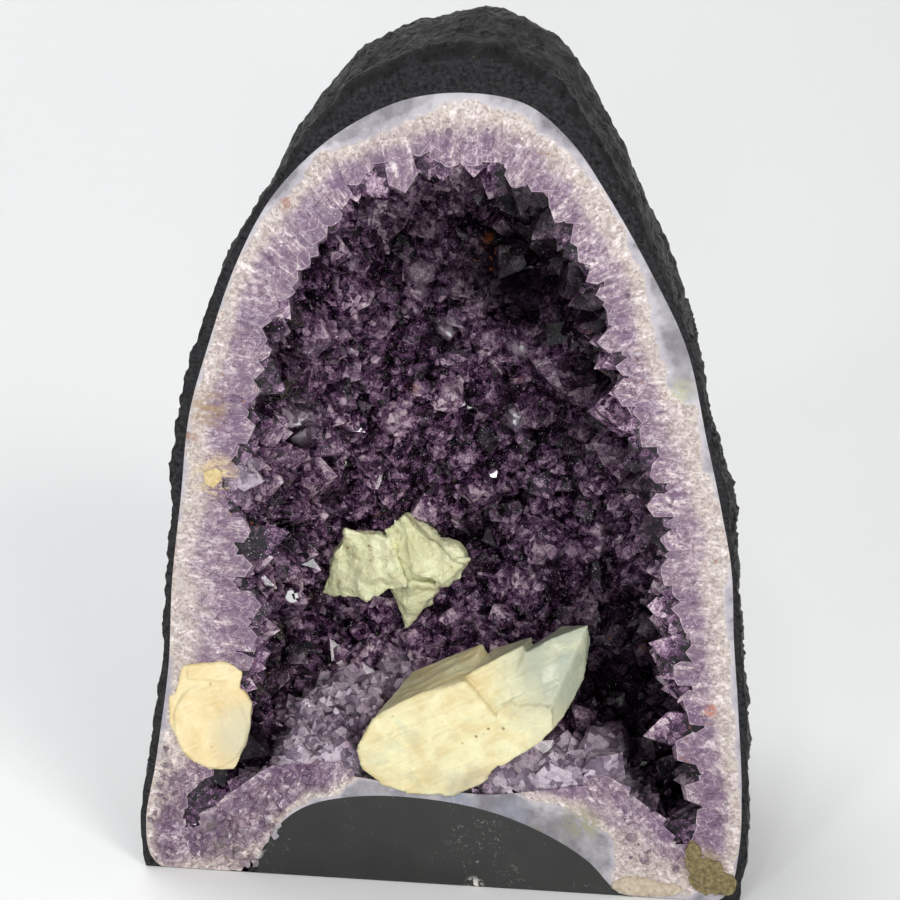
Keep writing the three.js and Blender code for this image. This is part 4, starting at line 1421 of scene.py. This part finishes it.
@dataclass
class Druse:
    """The cavity's lumpy wall and the thousands of small points that cover it."""

    around: int = 220
    rings: int = 90
    lumps: float = 6.0
    gap: float = 0.0008
    squash: float = 0.03

    def wall(self) -> tuple[np.ndarray, list]:
        """The lumpy wall of the cavity.

        Returns:
            Its points in millimetres and its faces, turned to the inside of the cavity.
        """
        angle = ring_angles(self.around)
        rows = [FORM.cavity(angle, (i / self.rings) ** 0.9, 1.6, FORM.druse_depth) for i in range(self.rings)]
        middle = np.array([0.0, 20.0, 0.0])
        for row in rows:
            for j, point in enumerate(row):
                spot = Vector(point)
                centre = middle + (0, 0, np.clip(point[2], 105, 235))
                inward = centre - point
                inward /= np.linalg.norm(inward)
                near_face = min(1.0, point[1] / 25.0)
                lump = noise.fractal(spot / 30.0 + Vector((5, 2, 8)), 1.0, 2.0, 3) * self.lumps
                row[j] = point + inward * lump * near_face
                row[j][1] = max(row[j][1], 0.5)
        pole = np.array([[0.0, rows[-1][:, 1].mean(), FORM.middle_z]])
        points = np.concatenate([*rows, pole])
        faces = []
        for j in range(self.around):
            k = (j + 1) % self.around
            for i in range(self.rings - 1):
                a, b = i * self.around, (i + 1) * self.around
                faces.append((a + j, a + k, b + k, b + j))
            faces.append(((self.rings - 1) * self.around + j, (self.rings - 1) * self.around + k, len(points) - 1))
        return points, faces

    def build(self, finish: bpy.types.Material) -> None:
        """Makes the wall and grows the small points on it.

        Args:
            finish: Its material.
        """
        points, faces = self.wall()
        ground = mesh_piece("druse_ground", FORM.placed(points), faces)
        nodes, shapes = nodes_named("amethyst_druse"), self.source_shapes()
        for growth in GROWTHS:
            piece = self.scatter(ground, shapes, growth)
            self.settle(piece)
            adopt(piece, finish, nodes)
        bpy.data.objects.remove(ground)
        for shape in list(shapes.objects):
            bpy.data.objects.remove(shape)
        bpy.data.collections.remove(shapes)
        self.backing(points, finish, nodes)

    def backing(self, points: np.ndarray, finish: bpy.types.Material, nodes: list[str]) -> None:
        """Closes the wall into a thick shell behind the points.

        Args:
            points: The wall's points.
            finish: Its material.
            nodes: The nodes that it stands for.
        """
        angle = ring_angles(self.around)
        inner = [points[i * self.around:(i + 1) * self.around] for i in range(self.rings)]
        outer = [FORM.cavity(angle, i / 12, 1.0, FORM.lining_depth + 6) for i in range(11, 0, -1)]
        mouth = inner[0] * (1, 0, 1) + (0, 0.5, 0)
        edge = FORM.cavity(angle, 0, 1.0, 1.0) + (0, 0.5, 0)
        rows = [*outer, edge, mouth, *inner[1:]]
        all_points = np.concatenate([
            np.array([[0, outer[0][:, 1].max() + 2, FORM.middle_z]]), *rows, points[-1:]])
        all_points[:, 2] = np.maximum(all_points[:, 2], 0.3)
        count = len(all_points)
        piece = mesh_piece("druse_wall", FORM.placed(all_points), ring_faces(len(rows), self.around), {
            "tone": np.full(count, 0.3), "edge": np.zeros(count), "height": np.zeros(count)})
        tidy_mesh(piece, 1e-7)
        adopt(piece, finish, nodes)

    @staticmethod
    def source_shapes() -> bpy.types.Collection:
        """A few differently worn points, one unit wide, for the scatter to choose from."""
        shapes = bpy.data.collections.new("point_shapes")
        bpy.context.scene.collection.children.link(shapes)
        batch = CrystalBatch(5)
        for i in range(8):
            local, faces = batch.shape(1.0, 2.3 + 0.12 * i)
            height = np.clip(local[:, 2] / local[:, 2].max(), 0, 1)
            mesh = bpy.data.meshes.new(f"point_{i}")
            mesh.from_pydata((local - (0, 0, 1.0)).tolist(), [], faces)
            store(mesh, "height", height)
            shapes.objects.link(bpy.data.objects.new(f"point_{i}", mesh))
        return shapes

    @staticmethod
    def scatter_tree(name: str) -> bpy.types.GeometryNodeTree:
        """The node tree that grows points on a wall.

        Args:
            name: The tree's name.

        Returns:
            The tree, with named inputs.
        """
        tree = bpy.data.node_groups.new(name, "GeometryNodeTree")
        face = tree.interface
        face.new_socket("Wall", in_out="INPUT", socket_type="NodeSocketGeometry")
        for key, kind in (("Spacing", "Float"), ("Smallest", "Float"), ("Largest", "Float"), ("Lean", "Float"),
                          ("Seed", "Int"), ("Shapes", "Collection")):
            face.new_socket(key, in_out="INPUT", socket_type=f"NodeSocket{kind}")
        face.new_socket("Points", in_out="OUTPUT", socket_type="NodeSocketGeometry")
        paint = Paint(tree)
        given = paint.add("NodeGroupInput").outputs
        seeded = [paint.maths("ADD", given["Seed"], float(i)) for i in range(1, 5)]
        spread = paint.add("GeometryNodeDistributePointsOnFaces", {
            "Mesh": given["Wall"], "Distance Min": given["Spacing"], "Density Max": 4.0e5,
            "Seed": given["Seed"],
        }, distribute_method="POISSON")
        shapes = paint.add("GeometryNodeCollectionInfo", {
            "Collection": given["Shapes"], "Separate Children": True, "Reset Children": True,
        })
        turn = paint.add("FunctionNodeRandomValue", {0: (-1, -1, -1), 1: (1, 1, 1), "Seed": seeded[0]},
                         data_type="FLOAT_VECTOR")
        limit = paint.add("ShaderNodeCombineXYZ", {0: given["Lean"], 1: given["Lean"], 2: math.pi})
        leaning = paint.add("ShaderNodeVectorMath", {0: turn.outputs[0], 1: limit.outputs[0]},
                            operation="MULTIPLY")
        spin = paint.add("FunctionNodeEulerToRotation", {0: leaning.outputs[0]})
        turned = paint.add("FunctionNodeRotateRotation", {
            "Rotation": spread.outputs["Rotation"], "Rotate By": spin.outputs[0],
        }, rotation_space="LOCAL")
        chance = paint.add("FunctionNodeRandomValue", {2: 0.0, 3: 1.0, "Seed": seeded[1]}, data_type="FLOAT")
        size = paint.add("ShaderNodeMapRange", {
            "Value": paint.maths("POWER", chance.outputs[1], 1.5), "To Min": given["Smallest"],
            "To Max": given["Largest"],
        })
        stretch = paint.add("FunctionNodeRandomValue", {0: (0.8, 0.8, 0.75), 1: (1.15, 1.15, 1.2),
                                                        "Seed": seeded[2]}, data_type="FLOAT_VECTOR")
        scale = paint.add("ShaderNodeVectorMath", {0: stretch.outputs[0]}, operation="SCALE")
        tree.links.new(size.outputs["Result"], scale.inputs["Scale"])
        which = paint.add("FunctionNodeRandomValue", {4: 0, 5: 7, "Seed": seeded[3]}, data_type="INT")
        grown = paint.add("GeometryNodeInstanceOnPoints", {
            "Points": spread.outputs["Points"], "Instance": shapes.outputs[0], "Pick Instance": True,
            "Instance Index": which.outputs[2], "Rotation": turned.outputs[0], "Scale": scale.outputs[0],
        })
        tone = paint.add("FunctionNodeRandomValue", {2: 0.0, 3: 1.0, "Seed": given["Seed"]}, data_type="FLOAT")
        toned = paint.add("GeometryNodeStoreNamedAttribute", {
            "Geometry": grown.outputs[0], "Name": "tone", "Value": tone.outputs[1],
        }, data_type="FLOAT", domain="INSTANCE")
        real = paint.add("GeometryNodeRealizeInstances", {0: toned.outputs[0]})
        paint.add("NodeGroupOutput", {0: real.outputs[0]})
        return tree

    def scatter(self, ground: bpy.types.Object, shapes: bpy.types.Collection,
                growth: Growth) -> bpy.types.Object:
        """Grows one size of point all over the wall.

        Args:
            ground: The wall.
            shapes: The points to choose from.
            growth: Their size, spacing and lean.

        Returns:
            The points as one plain mesh.
        """
        tree = self.scatter_tree(growth.name + "_growth")
        modifier = ground.modifiers.new("growth", "NODES")
        modifier.node_group = tree
        chosen = {"Spacing": growth.spacing, "Smallest": growth.smallest, "Largest": growth.largest,
                  "Lean": growth.lean, "Seed": growth.seed, "Shapes": shapes}
        for item in tree.interface.items_tree:
            if item.in_out == "INPUT" and item.name in chosen:
                modifier[item.identifier] = chosen[item.name]
        ground.update_tag()
        bpy.context.view_layer.update()
        graph = bpy.context.evaluated_depsgraph_get()
        mesh = bpy.data.meshes.new_from_object(ground.evaluated_get(graph))
        ground.modifiers.clear()
        mesh.name = growth.name
        return stand(growth.name, mesh)

    def settle(self, piece: bpy.types.Object) -> None:
        """Keeps the points behind the sawn face and above the base, and shades them flat.

        What stands past either is squashed and not pressed flat, so that no two faces fall together.

        Args:
            piece: The points.
        """
        mesh = piece.data
        spots = np.zeros(len(mesh.vertices) * 3, np.float32)
        mesh.vertices.foreach_get("co", spots)
        spots = spots.reshape(-1, 3)
        for axis, limit in ((1, face_y() + self.gap), (2, self.gap)):
            over = spots[:, axis] < limit
            spots[over, axis] = limit + (spots[over, axis] - limit) * self.squash
        mesh.vertices.foreach_set("co", spots.ravel())
        mesh.polygons.foreach_set("use_smooth", [False] * len(mesh.polygons))
        if "edge" not in mesh.attributes:
            mesh.attributes.new("edge", "FLOAT", "POINT")
        mesh.update()


@dataclass
class CavityPoints:
    """The few larger points inside the cavity."""

    seed: int = 31
    side_points: int = 5

    def build(self, finish: bpy.types.Material) -> None:
        """Makes a detailed crystal, with small side points, for each named one.

        Args:
            finish: Their material.
        """
        batch = CrystalBatch(self.seed)
        rng = batch.random
        nodes = nodes_named("cavity_point")
        for name in nodes:
            spots = node_spots(name)
            middle = spots.mean(axis=0)
            aim = np.array([0.0, 30.0, np.clip(middle[2], 105, 235)]) - middle
            aim /= np.linalg.norm(aim)
            tip, radius = fit_point(spots, aim)
            batch.grow(tip, aim, radius, 26.0, rng.uniform(0.4, 1.0))
            for _ in range(self.side_points):
                lean = aim + rng.normal(0, 0.35, 3)
                shift = rng.normal(0, radius * 0.7, 3)
                root = tip - aim * radius * rng.uniform(0.5, 1.1) + shift
                batch.grow(root, lean, radius * rng.uniform(0.3, 0.5), 18.0, rng.uniform(0, 1))
        piece = batch.piece("cavity_crystals")
        adopt(piece, finish, nodes)


@dataclass
class Ledge:
    """A mound of clear pointed crystals on the floor of the cavity."""

    name: str
    count: int
    middle: tuple[float, float]
    reach: tuple[float, float]
    foot: float
    rise: float
    radius: tuple[float, float] = (1.9, 4.6)
    seed: int = 77
    length: float = 15.0

    def build(self, finish: bpy.types.Material) -> None:
        """Makes the mound.

        Args:
            finish: Its material.
        """
        batch = CrystalBatch(self.seed)
        rng = batch.random
        for _ in range(self.count):
            dx, dy = rng.uniform(-1.2, 1.2, 2)
            x, y = self.middle[0] + dx * self.reach[0], max(self.middle[1] + dy * self.reach[1], 1.0)
            z = self.foot + self.rise * math.exp(-1.4 * (dx * dx + dy * dy)) + rng.uniform(-1, 2.5)
            way = np.array([0.5 * dx, -0.45, 1.0]) + rng.normal(0, 0.3, 3)
            batch.grow(np.array([x, y, z]), way, rng.uniform(*self.radius), self.length, rng.uniform(0, 1), 0.3, 1.1)
        piece = batch.piece(self.name)
        adopt(piece, finish, [])


LEDGES = (
    Ledge("left_ledge", 320, (-44, 34), (28, 22), 56, 19),
    Ledge("right_ledge", 170, (62, 15), (24, 11), 42, 9, (1.5, 3.6)),
    Ledge("front_ledge", 150, (46, 4), (34, 4), 45, 7, (1.2, 3.0)),
)


# ---- Calcites and patches ---------------------------------------------------------------------


class Surface(Enum):
    """How the surface of a mineral lump is finished."""

    CLEAVED = "cleaved"
    SUGARY = "sugary"
    ARCED = "arced"
    CRUMBLY = "crumbly"


@dataclass
class Mineral:
    """A calcite or a mineral patch, worked up from its plain solid."""

    name: str
    node: str
    slot: str
    surface: Surface
    voxel: float = 0.0007
    proud: float = 0.0
    lumps: tuple = ()
    arcs: tuple[float, float] = (0.0, 0.0)

    def relief(self, spot: Vector, normal: Vector) -> float:
        """How far the surface stands out at a spot, in millimetres.

        Args:
            spot: The spot, in millimetres.
            normal: The surface's direction there.

        Returns:
            The height.
        """
        front, side = max(0.0, -normal.y), 1 - abs(normal.y)
        if self.surface is Surface.CLEAVED:
            layer = (spot.z * 0.88 - spot.x * 0.47 + spot.y * 0.35) / 8.5 + 0.22 * noise.noise(spot / 17)
            block = (spot.x * 0.80 + spot.z * 0.60) / 26 + 0.18 * noise.noise(spot / 14 + Vector((4, 1, 7)))
            facing = front * min(1.0, max(0.1, (46 - spot.x) / 26))
            steps = 1.1 * saw_tooth(layer) + 1.0 * saw_tooth(block)
            return (0.3 * noise.noise(spot / 9) + steps * facing + 0.5 * abs(saw_tooth(layer * 3.1) - 0.5) * side
                    + 0.12 * noise.noise(spot / 2.0))
        if self.surface is Surface.ARCED:
            ring = math.hypot(spot.x - self.arcs[0], (spot.z - self.arcs[1]) * 0.8)
            block = 1.3 if ring < 15.5 else 0.0
            crown = 0.9 if spot.z > self.arcs[1] + 21 and abs(spot.x - self.arcs[0]) < 9 else 0.0
            return (front * (block + crown + 0.07 * math.sin(ring * 2.3)) + 0.7 * noise.noise(spot / 6)
                    + 0.2 * noise.noise(spot / 1.8))
        if self.surface is Surface.SUGARY:
            cell = noise.voronoi(spot / 7.5)[0][0]
            return (2.2 * noise.noise(spot / 11) + 2.0 * (0.5 - cell) + 0.8 * noise.noise(spot / 3.2)
                    + 0.35 * noise.noise(spot / 1.3))
        return 0.8 * noise.noise(spot / 3.5) + 0.45 * noise.noise(spot / 1.3)

    def build(self, finish: bpy.types.Material) -> None:
        """Makes the lump.

        Args:
            finish: Its material.
        """
        mesh = frame["nodes"][self.node].data.copy()
        mesh.name = self.name
        piece = stand(self.name, mesh)
        tidy_mesh(piece, 2e-6, recalc=False)
        self.add_lumps(mesh)
        remesh = piece.modifiers.new("grain", "REMESH")
        remesh.mode, remesh.voxel_size, remesh.use_smooth_shade = "VOXEL", self.voxel, True
        apply_modifiers(piece)
        mesh = piece.data
        normals = [v.normal.copy() for v in mesh.vertices]
        face = face_y()
        for vertex, normal in zip(mesh.vertices, normals):
            spot = vertex.co / MM
            vertex.co += normal * self.relief(spot, normal) * MM
            if vertex.co.y < face + 1.2 * MM and self.proud:
                lift = self.proud * (0.6 + 0.4 * max(0.0, -normal.y)) * MM
                flat = face - lift + 0.0004 * noise.noise(spot / 3)
                vertex.co.y = min(vertex.co.y - lift, flat) if normal.y < -0.4 else vertex.co.y - lift
        mesh.update()
        adopt(piece, finish, [self.node])

    def add_lumps(self, mesh: bpy.types.Mesh) -> None:
        """Adds rounded lumps that join the parts of the solid.

        Args:
            mesh: Where they go; each lump is a middle and three half widths, in millimetres of the form.
        """
        work = bmesh.new()
        work.from_mesh(mesh)
        for *middle, rx, ry, rz in self.lumps:
            size = Matrix.Diagonal((rx * MM, ry * MM, rz * MM, 1.0))
            place = Matrix.Translation(Vector(FORM.placed(np.array(middle, float))))
            bmesh.ops.create_icosphere(work, subdivisions=3, radius=1.0, matrix=place @ size)
        work.to_mesh(mesh)
        work.free()


# ---- Studio -----------------------------------------------------------------------------------


@dataclass(frozen=True)
class Lamp:
    """A soft square light that looks at the geode."""

    name: str
    spot: tuple[float, float, float]
    size: float
    watts: float
    colour: Spot = (1.0, 1.0, 1.0)

    def build(self, target: Vector) -> None:
        """Makes the light and turns it to the target."""
        data = bpy.data.lights.new(self.name, "AREA")
        data.size, data.energy, data.color = self.size, self.watts, self.colour
        lamp = stand(self.name, data)
        lamp.location = self.spot
        lamp.rotation_euler = (target - lamp.location).to_track_quat("-Z", "Y").to_euler()


LAMPS = (
    Lamp("key", (0.85, -1.05, 1.15), 0.42, 10.0, (1.0, 0.98, 0.95)),
    Lamp("fill", (-1.1, -1.0, 0.75), 0.6, 1.8, (0.93, 0.97, 1.0)),
    Lamp("front", (0.15, -1.7, 0.52), 0.26, 4.6),
    Lamp("top", (-0.8, 0.55, 1.9), 1.3, 19.0),
    Lamp("glint_left", (-0.45, -1.2, 0.9), 0.09, 2.2),
    Lamp("glint_right", (0.5, -1.3, 0.5), 0.09, 2.0),
    Lamp("glint_high", (-0.15, -1.1, 1.35), 0.09, 1.6),
    Lamp("glint_low", (-0.3, -1.3, 0.12), 0.08, 0.9),
)


@dataclass
class Studio:
    """A pale seamless sweep, soft lights and the camera."""

    azimuth: float = 7.0
    elevation: float = 20.0
    distance: float = 0.95
    lens: float = 95.4
    target: Spot = (4.56, 0.0, 197.3)
    half_width: float = 4.0
    bend_y: float = 0.45
    bend_radius: float = 0.8
    wall_top: float = 3.5
    sink: float = 0.0003

    def camera(self) -> None:
        """Makes the camera that looks slightly down at the mouth of the geode."""
        data = bpy.data.cameras.new("camera")
        data.lens, data.sensor_width, data.clip_start = self.lens, 36.0, 0.01
        camera = stand("camera", data)
        turn, rise = math.radians(self.azimuth), math.radians(self.elevation)
        back = Vector((math.sin(turn) * math.cos(rise), -math.cos(turn) * math.cos(rise), math.sin(rise)))
        camera.location = Vector(FORM.placed(np.array(self.target))) + back * self.distance
        camera.rotation_euler = (-back).to_track_quat("-Z", "Y").to_euler()
        bpy.context.scene.camera = camera

    def sweep(self, finish: bpy.types.Material) -> None:
        """Makes the floor that curves up into a wall behind."""
        radius = self.bend_radius
        profile = [(-3.0, 0.0), (self.bend_y, 0.0)]
        profile += [(self.bend_y + radius * math.sin(a), radius - radius * math.cos(a))
                    for a in np.linspace(0.1, math.pi / 2, 16)]
        profile.append((self.bend_y + radius, self.wall_top))
        sides = (-self.half_width, self.half_width)
        points = np.array([(x, y, z - self.sink) for y, z in profile for x in sides])
        faces = [(2 * i, 2 * i + 1, 2 * i + 3, 2 * i + 2) for i in range(len(profile) - 1)]
        floor = mesh_piece("sweep", points, faces)
        floor.data.materials.append(finish)

    def lights(self) -> None:
        """Sets the world and the lamps."""
        world = bpy.data.worlds.new("studio")
        bpy.context.scene.world = world
        world.use_nodes = True
        sky = world.node_tree.nodes["Background"].inputs
        sky["Color"].default_value, sky["Strength"].default_value = (0.94, 0.97, 1.0, 1.0), 0.19
        target = Vector((0.0, -0.05, 0.16))
        for lamp in LAMPS:
            lamp.build(target)
        bpy.context.scene.view_settings.view_transform = "Standard"


# ---- Assembly ---------------------------------------------------------------------------------

CALCITES = {
    "calcite_front": Calcite("cream_calcite", srgb(240, 234, 190), srgb(222, 204, 150), srgb(168, 176, 156),
                             ((56, 14, 104), 14, 44), 0.1, ((12, 0, 44), 6, 24)),
    "calcite_back": Calcite("sugar_calcite", srgb(248, 248, 206), srgb(214, 214, 164), srgb(240, 240, 200),
                            ((-30, 70, 120), 2, 10), 0.6),
    "calcite_left": Calcite("peach_calcite", srgb(240, 224, 176), srgb(228, 202, 146), srgb(212, 204, 172),
                            ((-80, 0, 66), 6, 22), 0.15),
}
EARTHS = {
    "clay_patch": Earth("brown_clay", srgb(150, 136, 98), srgb(104, 92, 62)),
    "beige_patch": Earth("beige_stone", srgb(212, 198, 178), srgb(188, 172, 150)),
    "cream_patch": Earth("cream_crust", srgb(228, 210, 160), srgb(206, 180, 128)),
}


def minerals() -> tuple[Mineral, ...]:
    """The calcites and patches, with their lumps in millimetres of the form."""
    low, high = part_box("calcite_left")
    arcs = ((low[0] + high[0]) / 2 / MM, low[2] / MM + 21)
    return (
        Mineral("front_calcite", "calcite_front", "calcite", Surface.CLEAVED, proud=0.6),
        Mineral("back_calcite", "calcite_back", "calcite", Surface.SUGARY,
                lumps=((-20, 76, 119, 15, 10, 15), (-36, 78, 117, 17, 9, 12), (-8, 78, 118, 12, 9, 9))),
        Mineral("left_calcite", "calcite_left", "calcite", Surface.ARCED, proud=0.9, arcs=arcs),
        Mineral("clay_lump", "clay_patch", "clay", Surface.CRUMBLY, 0.0004, 1.2,
                ((113, 2, 12, 8, 3, 9), (119, 2, 9, 7, 3, 6), (107, 2, 21, 4, 3, 7))),
        Mineral("beige_lump", "beige_patch", "beige_stone", Surface.CRUMBLY, 0.0004, 0.8,
                ((84, 0.5, 5, 11, 2, 4.4), (95, 0.5, 4, 8, 2, 3.4))),
        Mineral("cream_lump", "cream_patch", "calcite", Surface.CRUMBLY, 0.0004, 0.9),
    )


def main() -> None:
    """Builds the geode piece by piece."""
    logging.basicConfig(level=logging.INFO, format="%(name)s %(message)s")
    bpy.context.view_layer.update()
    patterns, studio = Patterns(), Studio()
    studio.camera()
    Rind().build(Basalt().make(patterns))
    Footing().build(Cement().make(patterns))
    rim, dark = SawnQuartz().make(patterns), Amethyst().make(patterns)
    SawnWall("agate_ring", "agate_band", "agate", 0.0, FORM.agate_share, FORM.agate_depth,
             FORM.quartz_depth, across=3).build(rim)
    SawnWall("quartz_ring", "quartz_lining", "pale_quartz", FORM.agate_share, 1.0, FORM.quartz_depth,
             FORM.lining_depth).build(rim)
    Druse().build(dark)
    CavityPoints().build(dark)
    for ledge in LEDGES:
        ledge.build(dark)
    RimCrystals().build(rim, dark)
    looks = {node: finish.make(patterns) for node, finish in {**CALCITES, **EARTHS}.items()}
    for mineral in minerals():
        mineral.build(looks[mineral.node])
    studio.sweep(Sheet().make(patterns))
    studio.lights()
    LOG.info("done")


if __name__ == "__main__":
    main()
